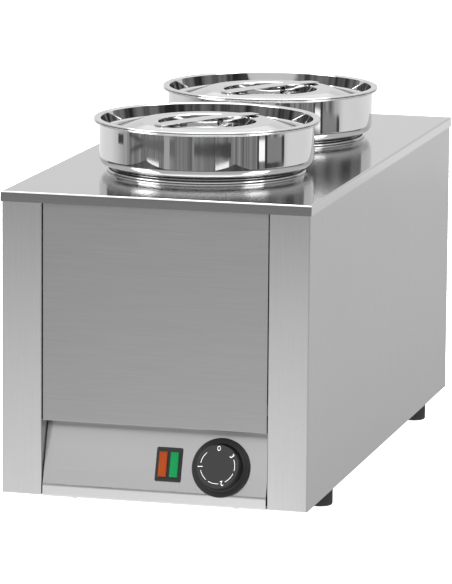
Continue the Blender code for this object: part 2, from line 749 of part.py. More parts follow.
def make_sensor():
    """The thermostat's bulb under the front well, its clip and the thin tube between them."""
    centre_y = POT_CENTRES[0][1]
    under_well = COVER_TOP - WELL_DEPTH - SHEET
    level = under_well - GAP - BULB_RADIUS
    ends = [(BULB_X, centre_y + side * BULB_HALF_LENGTH, level) for side in (-1, 1)]
    add_tube("sensor_bulb", ends, BULB_RADIUS, "copper_tube", 3)
    half_clip, clip_wall = 0.0065, 0.0015
    clip_low = (BULB_X - half_clip, centre_y - half_clip, level - BULB_RADIUS - clip_wall)
    clip_high = (BULB_X + half_clip, centre_y + half_clip, under_well - GAP)
    clip = add_box("bulb_clip", clip_low, clip_high, "zinc_steel")
    half_slot = BULB_RADIUS + GAP
    slot_low = (BULB_X - half_slot, centre_y - 2 * half_clip, level - half_slot)
    slot_high = (BULB_X + half_slot, centre_y + 2 * half_clip, under_well + SHEET)
    cut_box(clip, "bulb_clip_slot", slot_low, slot_high)
    end = centre_y - BULB_HALF_LENGTH - GAP
    route = (
        (BULB_X, end, level),
        (BULB_X, end - 0.012, level - 0.002),
        (BULB_X + 0.006, end - 0.030, level - 0.018),
        (0.040, -0.215, 0.092),
        (0.052, -0.226, 0.070),
        (0.058, -0.2345, 0.052),
        (KNOB_X, -0.2425, 0.046),
    )
    add_tube("capillary_tube", smooth_route(route), CAPILLARY_RADIUS, "copper_tube", 1)


def make_supply(rear_panel, panel_y, plate_low):
    """Terminal block, earth stud and the cable gland in the rear panel."""
    floor = plate_low + SHEET
    where = (GLAND_X, panel_y, CASING_BOTTOM + GLAND_LEVEL)
    hole_radius = GLAND_THREAD + 0.0004
    outline = ((0, THROUGH), (hole_radius, THROUGH), (hole_radius, -THROUGH), (0, -THROUGH))
    hole = add_turned("gland_hole", outline, None, MEDIUM_STEPS, None, where)
    hole.rotation_euler.x = math.radians(90)
    combine(rear_panel, hole, "DIFFERENCE")
    gland = (
        (GLAND_BORE, 0.0085),
        (0.0075, 0.0085),
        (0.0105, 0.0060),
        (0.0115, 0.0040),
        (0.0115, GAP),
        (GLAND_THREAD, GAP),
        (GLAND_THREAD, -0.0150),
        (GLAND_BORE, -0.0150),
    )
    body = add_turned("cable_gland", gland, "black_plastic", MEDIUM_STEPS, None, where)
    body.rotation_euler.x = math.radians(-90)
    nut_radius, nut_bore, nut_top, nut_foot = 0.0125, GLAND_THREAD + GAP, -SHEET - GAP, -SHEET - 0.0053
    nut = ((nut_radius, nut_top), (nut_radius, nut_foot), (nut_bore, nut_foot), (nut_bore, nut_top))
    lock = add_turned("gland_locknut", nut, "black_plastic", MEDIUM_STEPS, None, where)
    lock.rotation_euler.x = math.radians(-90)
    half_block = Vector((0.020, 0.009))
    block_x, block_top = -0.055, 0.016
    block = add_box(
        "terminal_block",
        (block_x - half_block.x, SUPPLY_Y - half_block.y, floor + GAP),
        (block_x + half_block.x, SUPPLY_Y + half_block.y, floor + block_top),
        "white_ceramic",
    )
    for index in (-1, 0, 1):
        well = (block_x + index * TERMINAL_PITCH, SUPPLY_Y, floor)
        name = f"terminal_well_{index + 1}"
        cut_round(block, name, 0.0030, block_top / 2, block_top + THROUGH, None, well, SMALL_STEPS)
    thread, washer, washer_top = 0.0020, 0.0046, 0.0055
    stud = ((0, 0.016), (thread, 0.016), (thread, washer_top), (washer, washer_top), (washer, GAP), (0, GAP))
    add_turned("earth_stud", stud, "zinc_steel", SMALL_STEPS, None, (EARTH_STUD_X, SUPPLY_Y, floor))


def make_leads(plate_low):
    """The leads that run inside the casing, laid along the floor between their ends."""
    floor = plate_low + SHEET + 0.0060
    supply = (
        (-0.055, 0.2435, floor + 0.006),
        (-0.060, 0.225, floor + 0.001),
        (-0.100, 0.195, floor),
        (-0.122, 0.130, floor),
        (-0.122, -0.020, floor),
        (-0.118, -0.150, floor),
        (-0.080, -0.225, floor),
        (0.010, -0.238, floor + 0.002),
        (0.048, -0.236, floor + 0.010),
        (0.052, -0.2445, floor + 0.016),
    )
    add_tube("supply_lead", smooth_route(supply), LEAD_RADIUS, "brown_lead", 1)
    under_well = COVER_TOP - WELL_DEPTH - SHEET
    leg_foot = under_well - GAP - ELEMENT_TUBE - ELEMENT_LEG - GAP
    leg_x, leg_y = ELEMENT_RADIUS + 0.010, ELEMENT_RADIUS * math.sin(ELEMENT_OPENING)
    for place, centre_y, bend, lift in (
        ("front", POT_CENTRES[0][1], -0.150, 0),
        ("rear", POT_CENTRES[1][1], 0.030, 0.006),
    ):
        start = Vector((leg_x, centre_y - leg_y, leg_foot))
        route = (
            start,
            start + Vector((0.001, 0.001, -0.020)),
            (0.084, centre_y - 0.024, 0.048),
            (0.100, centre_y - 0.034, 0.030),
            (0.112, (centre_y + bend) / 2 - 0.030, floor + lift * 2 / 3),
            (0.112, -0.190, floor + lift * 2 / 3),
            (0.092, -0.225, floor + lift + 0.004),
            (0.074, -0.236, floor + lift + 0.010),
            (0.070, -0.2415, floor + lift + 0.014),
        )
        add_tube(f"heater_lead_{place}", smooth_route(route), LEAD_RADIUS, "blue_lead", 1)


def main():
    clear_scene()
    make_top_cover()
    make_side_panel("side_panel_left", -1)
    make_side_panel("side_panel_right", 1)
    make_front_panel()
    lean = (math.radians(90) - FASCIA_LEAN, 0, 0)
    on_fascia = add_empty("fascia_face", (0, FASCIA_FOOT_Y, FASCIA_FOOT_Z), lean)
    make_fascia(on_fascia)
    rear_panel, panel_y = make_rear_panel()
    plate, plate_low = make_base_plate()
    make_feet(plate, plate_low)
    for place, centre_y in POT_CENTRES:
        make_well(place, centre_y)
        make_pot(place, centre_y)
        make_lid(place, centre_y)
    make_knob(on_fascia)
    make_thermostat(on_fascia)
    make_lamp(on_fascia)
    make_sensor()
    make_supply(rear_panel, panel_y, plate_low)
    make_leads(plate_low)


main()
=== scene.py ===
import json
import math
import bmesh
import bpy
import numpy as np
from mathutils import Matrix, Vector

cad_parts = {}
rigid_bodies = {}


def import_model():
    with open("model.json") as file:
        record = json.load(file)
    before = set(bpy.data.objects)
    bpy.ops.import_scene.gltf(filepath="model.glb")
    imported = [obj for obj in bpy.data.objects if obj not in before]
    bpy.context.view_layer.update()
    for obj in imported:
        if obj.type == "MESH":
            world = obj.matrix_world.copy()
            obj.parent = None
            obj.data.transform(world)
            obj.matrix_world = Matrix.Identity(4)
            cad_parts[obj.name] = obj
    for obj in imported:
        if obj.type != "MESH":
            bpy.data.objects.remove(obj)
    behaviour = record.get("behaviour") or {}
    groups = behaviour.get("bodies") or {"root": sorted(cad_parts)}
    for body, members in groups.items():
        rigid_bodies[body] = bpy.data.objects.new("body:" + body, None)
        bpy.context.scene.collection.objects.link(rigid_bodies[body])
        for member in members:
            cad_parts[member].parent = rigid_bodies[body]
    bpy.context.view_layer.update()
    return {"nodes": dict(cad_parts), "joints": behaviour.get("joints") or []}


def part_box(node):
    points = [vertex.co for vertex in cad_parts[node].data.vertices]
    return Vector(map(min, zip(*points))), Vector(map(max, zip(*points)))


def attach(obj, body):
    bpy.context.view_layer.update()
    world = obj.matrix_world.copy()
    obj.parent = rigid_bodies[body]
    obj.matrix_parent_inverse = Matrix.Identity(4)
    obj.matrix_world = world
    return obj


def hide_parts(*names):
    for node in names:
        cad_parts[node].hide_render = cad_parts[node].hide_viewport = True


for leftover in list(bpy.data.objects):
    bpy.data.objects.remove(leftover, do_unlink=True)
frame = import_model()
print("frame loaded:", len(frame["nodes"]), "nodes")

mm = 0.001
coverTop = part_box("top_cover")[1].z
knobTurn = next(joint for joint in frame["joints"] if joint["name"] == "knob_turn")


# The middle of a node's box.
def middleOf(node):
    return np.array(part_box(node)).sum(axis=0) / 2


pots = [
    {"place": node.capitalize(), "node": node, "y": middleOf(f"well_{node}")[1]} for node in ("front", "rear")
]


# ---- mesh tools

# Quads of a grid of rows by columns: corner (r, c) has the number r * columns + c, and a closed way wraps
# round.
def gridFaces(rows, columns, closedRows=False, closedColumns=False):
    r = np.arange(rows if closedRows else rows - 1)[:, None]
    c = np.arange(columns if closedColumns else columns - 1)[None, :]
    r2, c2 = (r + 1) % rows, (c + 1) % columns
    corners = (r * columns + c, r * columns + c2, r2 * columns + c2, r2 * columns + c)
    return np.stack(corners, axis=-1).reshape(-1, 4)


# Several (points, faces) sets as one: each set's numbers are raised by the points before it.
def joined(*parts):
    points, faces, count = [], [], 0
    for partPoints, partFaces in parts:
        points.append(np.asarray(partPoints).reshape(-1, 3))
        faces.append(np.asarray(partFaces) + count)
        count += len(points[-1])
    return np.concatenate(points), np.concatenate(faces)


# A path whose corners are rounded. Each corner P is left out between A, one reach before it, and B, one
# reach after it, and the points there are ((1-s)^2 A + 2s(1-s)w P + s^2 B) / ((1-s)^2 + 2s(1-s)w + s^2), an
# arc for w = cos(half turn).
def softPath(corners, reach, steps=6):
    corners = np.asarray(corners, float)
    legs = np.diff(corners, axis=0)
    lengths = np.linalg.norm(legs, axis=1, keepdims=True)
    runs = legs / lengths
    reach = np.broadcast_to(np.asarray(reach, float).reshape(-1, 1), (len(corners) - 2, 1))
    start = corners[1:-1] - runs[:-1] * reach
    end = corners[1:-1] + runs[1:] * reach
    weight = np.sqrt((1 + np.sum(runs[:-1] * runs[1:], axis=1)) / 2).reshape(-1, 1, 1)
    s = np.linspace(0, 1, steps + 1).reshape(1, -1, 1)
    a, b, c = (1 - s) ** 2, 2 * s * (1 - s) * weight, s**2
    arcs = (a * start[:, None] + b * corners[1:-1, None] + c * end[:, None]) / (a + b + c)
    return np.concatenate([corners[:1], arcs.reshape(-1, corners.shape[1]), corners[-1:]])


# The closed outline of a sheet: the path, then the same path moved to its left by the thickness, walked back.
def sheetOutline(path, thickness):
    runs = np.diff(path, axis=0)
    runs = runs / np.linalg.norm(runs, axis=1, keepdims=True)
    sides = np.stack([-runs[:, 1], runs[:, 0]], axis=1)
    before, after = np.vstack([sides[:1], sides]), np.vstack([sides, sides[-1:]])
    mitre = before + after
    mitre = mitre / np.sum(mitre * after, axis=1, keepdims=True)
    return np.concatenate([path, (path + mitre * thickness)[::-1]])


# A closed outline of (radius, height) turned about Z: point = (r cos a, r sin a, z).
def turned(outline, steps, centre=(0, 0, 0)):
    outline = np.asarray(outline, float)
    a = np.linspace(0, math.tau, steps, endpoint=False)
    r, z = outline[:, :1], outline[:, 1:]
    points = np.stack([r * np.cos(a), r * np.sin(a), z + 0 * a], axis=-1) + np.array(centre)
    return points, gridFaces(len(outline), steps, closedRows=True, closedColumns=True)


# Closes the end of a sheet outline: point i of the path pairs with its partner on the way back, 2n - 1 - i.
def stripCap(ring):
    n = len(ring) // 2
    i = np.arange(n - 1)
    faces = np.stack([i, i + 1, 2 * n - 2 - i, 2 * n - 1 - i], axis=1)
    return ring, faces


# A sheet outline of (across, up) pairs drawn straight along one axis between two stations, and closed at both.
# The order says which axes are across, up and along.
def drawnSheet(outline, stations, order):
    grid = np.empty((len(outline), 2, 3))
    grid[..., order[0]] = outline[:, :1]
    grid[..., order[1]] = outline[:, 1:]
    grid[..., order[2]] = stations
    walls = gridFaces(len(outline), 2, closedRows=True)
    return joined((grid, walls), stripCap(grid[:, 0]), stripCap(grid[:, 1]))


# Rings of a rectangle with round corners: a quarter circle at each corner, at angle a: corner centre + r
# (cos a, sin a).
def roundedRectangle(halfWidth, halfHeight, radius, steps=6):
    quarter = np.linspace(0, math.pi / 2, steps + 1)
    turn = (np.arange(4)[:, None] * math.pi / 2 + quarter).ravel()
    signs = np.repeat(np.array([[1, 1], [-1, 1], [-1, -1], [1, -1]]), steps + 1, axis=0)
    middle = signs * np.array([halfWidth - radius, halfHeight - radius])
    return middle + radius * np.stack([np.cos(turn), np.sin(turn)], axis=1)


# A slab from stacked rounded rectangles (halfWidth, halfHeight, radius, height): first and last shrink to a
# point.
def stackedSlab(levels, steps=6):
    count = 4 * steps + 4
    rings = [np.column_stack([roundedRectangle(w, h, r, steps), np.full(count, z)]) for w, h, r, z in levels]
    low, high = rings[0].copy(), rings[-1].copy()
    low[:, :2], high[:, :2] = 0, 0
    grid = np.stack([low, *rings, high])
    return grid, gridFaces(len(grid), grid.shape[1], closedColumns=True)


# Turns the control face's own axes, across, up the slope and outwards, into the frame's.
def onFace(points, across=0.0, up=0.0):
    axis = np.array(knobTurn["axis"], float)
    slope = np.array([[1, 0, 0], [0, -axis[2], axis[1]], -axis])
    return np.array(knobTurn["pos_m"]) + (np.asarray(points) + np.array([across, up, 0])) @ slope


# One property of all of a mesh's items, as an array with one row for each.
def readArray(items, key, kind, width=1):
    values = np.empty(len(items) * width, kind)
    items.foreach_get(key, values)
    return values.reshape(-1, width) if width > 1 else values


# The object's mesh with its modifiers worked in.
def evaluatedMesh(shape):
    return bpy.data.meshes.new_from_object(shape.evaluated_get(bpy.context.evaluated_depsgraph_get()))


# The points and triangles that a flat curve or a text fills.
def filledShape(curve):
    holder = bpy.data.objects.new(curve.name, curve)
    bpy.context.scene.collection.objects.link(holder)
    mesh = evaluatedMesh(holder)
    bpy.data.objects.remove(holder)
    mesh.calc_loop_triangles()
    spots = readArray(mesh.vertices, "co", np.float32, 3).astype(float)
    return spots, readArray(mesh.loop_triangles, "vertices", np.int32, 3)


# Stores the points and faces, merges doubles so that poles and seams close, and turns every face outwards.
def makeMesh(name, points, faces, recalculate=True):
    mesh = bpy.data.meshes.new(name)
    mesh.from_pydata(np.asarray(points).reshape(-1, 3), [], np.asarray(faces))
    work = bmesh.new()
    work.from_mesh(mesh)
    bmesh.ops.remove_doubles(work, verts=work.verts, dist=2e-6)
    bmesh.ops.dissolve_degenerate(work, edges=work.edges, dist=1e-7)
    if recalculate:
        bmesh.ops.recalc_face_normals(work, faces=work.faces)
    work.to_mesh(mesh)
    work.free()
    return mesh


def applyModifiers(piece):
    mesh = evaluatedMesh(piece)
    piece.modifiers.clear()
    piece.data = mesh
    mesh.name = piece.name
    return mesh


# Makes the piece from its mesh: a sheet gets its wall and a small edge radius, then curved faces are shaded
# smooth.
def makePiece(
    name, points, faces, material, body, nodes=(), slot=None, wall=0, edge=0, creaseAngle=38, grain=None
):
    piece = bpy.data.objects.new(name, makeMesh(name, points, faces, recalculate=not wall))
    bpy.context.scene.collection.objects.link(piece)
    if wall:
        solid = piece.modifiers.new("wall", "SOLIDIFY")
        solid.thickness, solid.offset, solid.use_even_offset = wall, -1, True
    if edge:
        bevel = piece.modifiers.new("edge", "BEVEL")
        bevel.width, bevel.segments, bevel.limit_method, bevel.angle_limit = edge, 2, "ANGLE", math.radians(50)
    mesh = applyModifiers(piece)
    mesh.shade_smooth()
    mesh.set_sharp_from_angle(angle=math.radians(creaseAngle))
    even = piece.modifiers.new("even shading", "WEIGHTED_NORMAL")  # flat stretches stay flat beside bends
    even.mode, even.weight, even.keep_sharp = "FACE_AREA", 100, True
    mesh = applyModifiers(piece)
    if grain:
        mapGrain(mesh, grain)
    mesh.materials.clear()
    mesh.materials.append(material)
    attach(piece, body)
    if nodes:
        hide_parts(*nodes)
    return piece


# A map whose first way lies across the brushing: u = p . (n x g), v = p . g, with n the face's normal and g
# the grain.
def mapGrain(mesh, grain):
    spots = readArray(mesh.vertices, "co", np.float32, 3)[readArray(mesh.loops, "vertex_index", np.int32)]
    normals = readArray(mesh.polygons, "normal", np.float32, 3)
    grain = np.array(grain, float)
    across = np.repeat(np.cross(normals, grain), readArray(mesh.polygons, "loop_total", np.int32), axis=0)
    flat = np.stack([np.sum(spots * across, axis=1), spots @ grain], axis=1)
    layer = mesh.uv_layers.new(name="grain")
    layer.data.foreach_set("uv", flat.astype(np.float32).ravel())


# ---- materials

# "#RRGGBB" as linear light: c / 12.92 below 0.04045, and ((c + 0.055) / 1.055) ^ 2.4 above it.
def hexToLinear(text):
    c = np.array([int(text[i : i + 2], 16) for i in (1, 3, 5)]) / 255
    return (*np.where(c <= 0.04045, c / 12.92, ((c + 0.055) / 1.055) ** 2.4).tolist(), 1.0)


# Feeds a socket: a (node, output) pair is linked to it, and anything else is its constant.
def feed(tree, socket, value):
    if isinstance(value, tuple) and isinstance(value[0], bpy.types.Node):
        tree.links.new(value[0].outputs[value[1]], socket)
    else:
        socket.default_value = value


# Adds one node, sets its properties and feeds its sockets, named by their words or, as i0 or i1, by their
# place.
def addNode(tree, kind, settings=None, **sockets):
    node = tree.nodes.new(kind)
    for key, value in (settings or {}).items():
        setattr(node, key, value)
    for key, value in sockets.items():
        byPlace = key[0] == "i" and key[1:].isdigit()
        feed(tree, node.inputs[int(key[1:]) if byPlace else key.replace("_", " ")], value)
    return node


def newMaterial(name):
    material = bpy.data.materials.new(name)
    material.use_nodes = True
    tree = material.node_tree
    return material, tree, tree.nodes["Principled BSDF"]


def setShader(shader, **values):
    for key, value in values.items():
        feed(shader.id_data, shader.inputs[key.replace("_", " ")], value)


# Maps a value from one span to another, straight or by a smooth step.
def mapped(tree, value, fromSpan, toSpan, smooth=False):
    return addNode(
        tree, "ShaderNodeMapRange", {"interpolation_type": "SMOOTHSTEP" if smooth else "LINEAR"}, Value=value,
        From_Min=fromSpan[0], From_Max=fromSpan[1], To_Min=toSpan[0], To_Max=toSpan[1],
    )


# A ramp between two colours, from low to high of its input.
def colourRamp(tree, source, low, high, lowColour, highColour):
    ramp = addNode(tree, "ShaderNodeValToRGB", i0=source)
    ramp.color_ramp.elements[0].position, ramp.color_ramp.elements[1].position = low, high
    ramp.color_ramp.elements[0].color = hexToLinear(lowColour)
    ramp.color_ramp.elements[1].color = hexToLinear(highColour)
    return ramp


# Brushed 1.4301 stainless sheet, belt-ground one way: a soft grey sheen, drawn out across the fine grinding
# lines. The real lines are about 0.1 mm apart, and are drawn 0.7 mm apart here so that they show.
def brushedStainless(name, grainAxis, dark="#BABABA", light="#C1C1C1", rough=(0.24, 0.32), lineBump=0.02):
    lineSpacing, lineLength, cloudSize = 0.7 * mm, 60 * mm, 90 * mm
    material, tree, shader = newMaterial(name)
    spot = addNode(tree, "ShaderNodeTexCoord")
    scale = [1 / lineSpacing] * 3
    scale[grainAxis] = 1 / lineLength
    stretched = addNode(tree, "ShaderNodeMapping", Vector=(spot, "Object"), Scale=scale)
    lines = addNode(tree, "ShaderNodeTexNoise", Vector=(stretched, 0), Scale=1.0, Detail=3.0, Roughness=0.6)
    clouds = addNode(tree, "ShaderNodeTexNoise", Vector=(spot, "Object"), Scale=1 / cloudSize, Detail=2.0)
    mixed = addNode(
        tree, "ShaderNodeMath", {"operation": "MULTIPLY_ADD"}, i0=(clouds, 0), i1=0.35, i2=(lines, 0)
    )
    tint = colourRamp(tree, (lines, 0), 0.30, 0.70, dark, light)
    wear = mapped(tree, (mixed, 0), (0.35, 1.0), rough)
    bump = addNode(tree, "ShaderNodeBump", Height=(lines, 0), Strength=lineBump, Distance=0.05 * mm)
    across = addNode(tree, "ShaderNodeTangent", {"direction_type": "UV_MAP", "uv_map": "grain"})
    setShader(shader, Base_Color=(tint, 0), Roughness=(wear, 0), Normal=(bump, 0), Tangent=(across, 0))
    setShader(shader, Metallic=1.0, Anisotropic=0.75)
    return material


# Spun stainless, buffed to a mirror: dark and light room shapes run round it, broken by very faint turning
# rings.
def mirrorStainless(name, centreY):
    ringSpacing, smudgeSize = 1.6 * mm, 30 * mm
    material, tree, shader = newMaterial(name)
    spot = addNode(tree, "ShaderNodeTexCoord")
    centred = addNode(tree, "ShaderNodeMapping", Vector=(spot, "Object"), Location=(0, -centreY, 0))
    level = addNode(tree, "ShaderNodeMapping", Vector=(centred, 0), Scale=(1, 1, 0))
    radius = addNode(tree, "ShaderNodeVectorMath", {"operation": "LENGTH"}, i0=(level, 0))
    rings = addNode(
        tree, "ShaderNodeTexNoise", {"noise_dimensions": "1D"},
        W=(radius, "Value"), Scale=1 / ringSpacing, Detail=2.0,
    )
    smudge = addNode(tree, "ShaderNodeTexNoise", Vector=(spot, "Object"), Scale=1 / smudgeSize, Detail=3.0)
    haze = mapped(tree, (smudge, 0), (0.35, 0.75), (0.02, 0.05))
    bump = addNode(tree, "ShaderNodeBump", Height=(rings, 0), Strength=0.10, Distance=0.01 * mm)
    tint = colourRamp(tree, (smudge, 0), 0.2, 0.8, "#CACACA", "#D1D1D1")
    setShader(shader, Base_Color=(tint, 0), Roughness=(haze, 0), Normal=(bump, 0), Metallic=1.0)
    return material


# A plain finish with its own grain: two close tones and a fine bump from one noise of the given size.
def grainedFinish(name, dark, light, grainSize, rough, bumpHeight, bumpStrength=0.25, **values):
    material, tree, shader = newMaterial(name)
    spot = addNode(tree, "ShaderNodeTexCoord")
    grain = addNode(
        tree, "ShaderNodeTexNoise", Vector=(spot, "Object"), Scale=1 / grainSize, Detail=3.0, Roughness=0.6
    )
    tint = colourRamp(tree, (grain, 0), 0.30, 0.70, dark, light)
    matt = mapped(tree, (grain, 0), (0.3, 0.7), rough)
    bump = addNode(tree, "ShaderNodeBump", Height=(grain, 0), Strength=bumpStrength, Distance=bumpHeight)
    setShader(shader, Base_Color=(tint, 0), Roughness=(matt, 0), Normal=(bump, 0), **values)
    return material


# Moulded polycarbonate lens, ribbed behind: clear bright colour with soft upright bars in it.
def lensPolycarbonate(name, dark, light, centreX):
    ribPitch = 1.5 * mm
    material, tree, shader = newMaterial(name)
    spot = addNode(tree, "ShaderNodeTexCoord")
    centred = addNode(tree, "ShaderNodeMapping", Vector=(spot, "Object"), Location=(-centreX, 0, 0))
    ribs = addNode(
        tree, "ShaderNodeTexWave", {"wave_profile": "SIN"}, Vector=(centred, 0), Scale=math.tau / ribPitch / 20
    )
    tint = colourRamp(tree, (ribs, 0), 0.0, 1.0, dark, light)
    bump = addNode(tree, "ShaderNodeBump", Height=(ribs, 0), Strength=0.15, Distance=0.1 * mm)
    setShader(shader, Base_Color=(tint, 0), Normal=(bump, 0), Roughness=0.36, IOR=1.58, Specular_IOR_Level=0.14)
    return material


alongX, alongY, alongZ = (1, 0, 0), (0, 1, 0), (0, 0, 1)
coverSteel = brushedStainless(
    "fine-ground stainless cover, lines level", 0, rough=(0.09, 0.12), lineBump=0.006
)
# Same stainless as the other sheets, but its base tone is set darker: painted shade standing in for the darker
# reflection the front panel shows.
panelSteelPaintedShade = brushedStainless(
    "brushed stainless front, lines level", 0, "#9F9F9F", "#A5A5A5", rough=(0.30, 0.38)
)
# The fascia's finer grind and lower roughness are its own finish; its lighter base tone is a painted sheen
# standing in for the brighter reflection on the leaning face.
fasciaSteelPaintedSheen = brushedStainless(
    "brushed stainless fascia, lines level", 0, "#C6C6C6", "#CBCBCB", rough=(0.20, 0.26), lineBump=0.008
)
sideSteel = brushedStainless("brushed stainless sides, lines upright", 2, rough=(0.26, 0.34))
rearSteel = brushedStainless("brushed stainless back", 2, rough=(0.28, 0.36))
wellSteel = grainedFinish(
    "deep-drawn stainless, satin", "#B4B4B5", "#BCBCBC", 40 * mm, (0.10, 0.15), 0.002 * mm, Metallic=1.0
)
zincSteel = grainedFinish(
    "zinc-plated steel, passivated", "#9C9FA0", "#B4B6B4", 6 * mm, (0.30, 0.46), 0.02 * mm, Metallic=1.0
)
blackAbs = grainedFinish(
    "black ABS, fine spark-eroded texture", "#0B0B0C", "#111112", 0.6 * mm, (0.40, 0.52), 0.03 * mm
)
faceAbs = grainedFinish("black ABS, satin dial face", "#1A1A1A", "#1E1E1E", 0.6 * mm, (0.42, 0.52), 0.02 * mm)
bezelAbs = grainedFinish(
    "black polyamide bezel, satin", "#131314", "#181819", 0.8 * mm, (0.34, 0.44), 0.02 * mm
)
footRubber = grainedFinish(
    "black nitrile rubber, matt", "#0E0E0F", "#151516", 1.2 * mm, (0.62, 0.78), 0.06 * mm
)
printWhite = grainedFinish("white pad-printed ink", "#E4E4E2", "#F2F2F0", 0.5 * mm, (0.45, 0.60), 0.01 * mm)
glandNylon = grainedFinish(
    "black nylon gland, moulded", "#1E1E20", "#28282A", 0.9 * mm, (0.36, 0.50), 0.03 * mm
)
bakelite = grainedFinish("brown phenolic moulding", "#2C1D16", "#3B2820", 1.5 * mm, (0.30, 0.45), 0.03 * mm)
steatite = grainedFinish("glazed white steatite", "#E3E0D6", "#EFEDE6", 2.5 * mm, (0.18, 0.30), 0.03 * mm)
ceramicWool = grainedFinish(
    "ceramic fibre blanket, felted", "#DAD7CC", "#F1EFE8", 2.2 * mm, (0.85, 0.98), 0.8 * mm, 0.7
)
copper = grainedFinish(
    "drawn copper tube, slightly tarnished", "#A5613F", "#C0805A", 5 * mm, (0.25, 0.42), 0.02 * mm, Metallic=1.0
)
brownPvc = grainedFinish("brown PVC lead, extruded", "#4A2A1B", "#5B3625", 2 * mm, (0.38, 0.50), 0.03 * mm)
bluePvc = grainedFinish("blue PVC lead, extruded", "#1F4C93", "#2A5CA8", 2 * mm, (0.38, 0.50), 0.03 * mm)
lampGlass = grainedFinish(
    "neon lamp glass, frosted tip", "#E2D3C2", "#F0E4D6", 1.5 * mm, (0.10, 0.22), 0.01 * mm, Coat_Weight=0.5
)
print("materials made")


# ---- casing

casing = {
    "sheet": 0.8 * mm,
    "coverBend": 1.9 * mm,
    "lipLean": 0.7 * mm,  # the front and rear lips open a little downwards
    "holeRadius": 90.4 * mm,
    "foldRadius": 1.4 * mm,
    "edgeRadius": 0.22 * mm,
    "seam": 0.25 * mm,
    "postReturn": 18 * mm,
    "rearReturn": 20 * mm,
    "bottomFlange": 26 * mm,
    "panelTurnIn": 12 * mm,
    "fasciaTurnIn": 14.5 * mm,
    "panelGap": 0.7 * mm,
    "flangeGap": 0.4 * mm,
}


# Half of the cover, round its hole: each ray leaves the hole's centre at angle a and ends on the half's
# border at t = min(X / |cos a|, Y / |sin a|); rings lie at hole + (t - hole) k. The outer rays go on over
# the bend, which drops b (1 - cos f) and goes out b sin f, and down the lip.
def coverHalf(rays=96, rings=7, bendSteps=6):
    low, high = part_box("top_cover")
    bend, lean = casing["coverBend"], casing["lipLean"]
    centreY = pots[0]["y"]
    halfX, frontY, backY = high.x - bend, low.y + bend + lean - centreY, -centreY
    cornerAngles = [math.atan2(y, x) for y in (frontY, backY) for x in (-halfX, halfX)]
    evenAngles = np.linspace(-math.pi, math.pi, rays, endpoint=False)
    a = np.unique(np.round(np.concatenate([evenAngles, cornerAngles]), 9))
    cosine, sine = np.cos(a), np.sin(a)
    reachX = halfX / np.maximum(np.abs(cosine), 1e-9)
    reachY = np.where(sine < 0, -frontY, backY) / np.maximum(np.abs(sine), 1e-9)
    reach = np.minimum(reachX, reachY)
    k = np.linspace(0, 1, rings)[:, None] ** 1.3
    r = casing["holeRadius"] + (reach - casing["holeRadius"]) * k
    top = np.stack([r * cosine, centreY + r * sine, coverTop + 0 * r], axis=-1)
    outer = (reachX <= reachY + 1e-7) | (sine < 0)
    rim = np.roll(top[-1], -np.argmax(~outer), axis=0)[np.roll(outer, -np.argmax(~outer))]
    toSide = np.sign(rim[:, 0]) * (np.abs(np.abs(rim[:, 0]) - halfX) < 1e-6)
    toFront = -1.0 * (np.abs(rim[:, 1] - centreY - frontY) < 1e-6)
    f = np.linspace(0, math.pi / 2, bendSteps + 1)
    out = np.append(bend * np.sin(f), bend)[:, None]
    drop = np.append(bend * (1 - np.cos(f)), coverTop - low.z)[:, None]
    frontOut = out + np.append(0 * f, lean)[:, None]
    lip = np.stack([rim[:, 0] + toSide * out, rim[:, 1] + toFront * frontOut, rim[:, 2] - drop], axis=-1)
    topFaces, lipFaces = gridFaces(rings, len(a), closedColumns=True), gridFaces(len(lip), len(rim))
    return (top, topFaces[:, ::-1]), (lip, lipFaces[:, ::-1])


def halfTurned(points):
    return np.asarray(points) * np.array([-1, -1, 1])


topHalf, lipHalf = coverHalf()
coverPoints, coverFaces = joined(
    topHalf, lipHalf, (halfTurned(topHalf[0]), topHalf[1]), (halfTurned(lipHalf[0]), lipHalf[1])
)
makePiece(
    "coverSheet", coverPoints, coverFaces, coverSteel, "housing", ["top_cover"], "brushed_steel",
    wall=casing["sheet"], grain=alongX,
)


# A folded sheet of the casing with its softened edges.
def foldedPiece(name, points, faces, material, nodes, grain):
    makePiece(
        name, points, faces, material, "housing", nodes, "brushed_steel", edge=casing["edgeRadius"], grain=grain
    )


# A side sheet: post return, post, side and rear return as one folded path in plan, drawn upright, with a flat
# flange turned in below.
def sideSheet(name, node, side):
    low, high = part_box(node)
    outerX, y = max(abs(low.x), abs(high.x)), high.y
    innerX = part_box("front_panel")[1].x + casing["panelGap"]
    corners = [
        (innerX, casing["postReturn"] - y), (innerX, -y), (outerX, -y), (outerX, y),
        (outerX - casing["rearReturn"], y),
    ]
    path = softPath(corners, casing["foldRadius"])
    outline = sheetOutline(path, casing["sheet"])
    gap = casing["flangeGap"]
    x = np.sort(side * np.array([outerX - casing["bottomFlange"], outerX - gap]))
    flange = solidBox((x[0], gap - y, low.z), (x[1], y - gap, low.z + casing["sheet"]))
    upright = drawnSheet(outline * np.array([side, 1]), (low.z, high.z), (0, 1, 2))
    foldedPiece(name, *upright, sideSteel, [node], alongZ)
    foldedPiece(f"{name}Flange", *flange, sideSteel, (), alongY)


# A box from its low and high corners: corner number bits choose low or high along X, Y and Z.
def solidBox(low, high):
    bits = (np.arange(8)[:, None] >> np.arange(3)) & 1
    points = np.where(bits == 1, np.array(high), np.array(low))
    faces = np.array([(0, 2, 3, 1), (4, 5, 7, 6), (0, 1, 5, 4), (2, 6, 7, 3), (0, 4, 6, 2), (1, 3, 7, 5)])
    return points, faces


sideSheet("sideSheetLeft", "side_panel_left", -1)
sideSheet("sideSheetRight", "side_panel_right", 1)


# A level sheet between the posts, folded along a (y, z) path and drawn across.
def levelSheet(name, node, corners, reach, material):
    low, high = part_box(node)
    outline = sheetOutline(softPath(corners, reach), casing["sheet"])
    ends = (low.x + casing["seam"], high.x - casing["seam"])
    foldedPiece(name, *drawnSheet(outline, ends, (1, 2, 0)), material, [node], alongX)


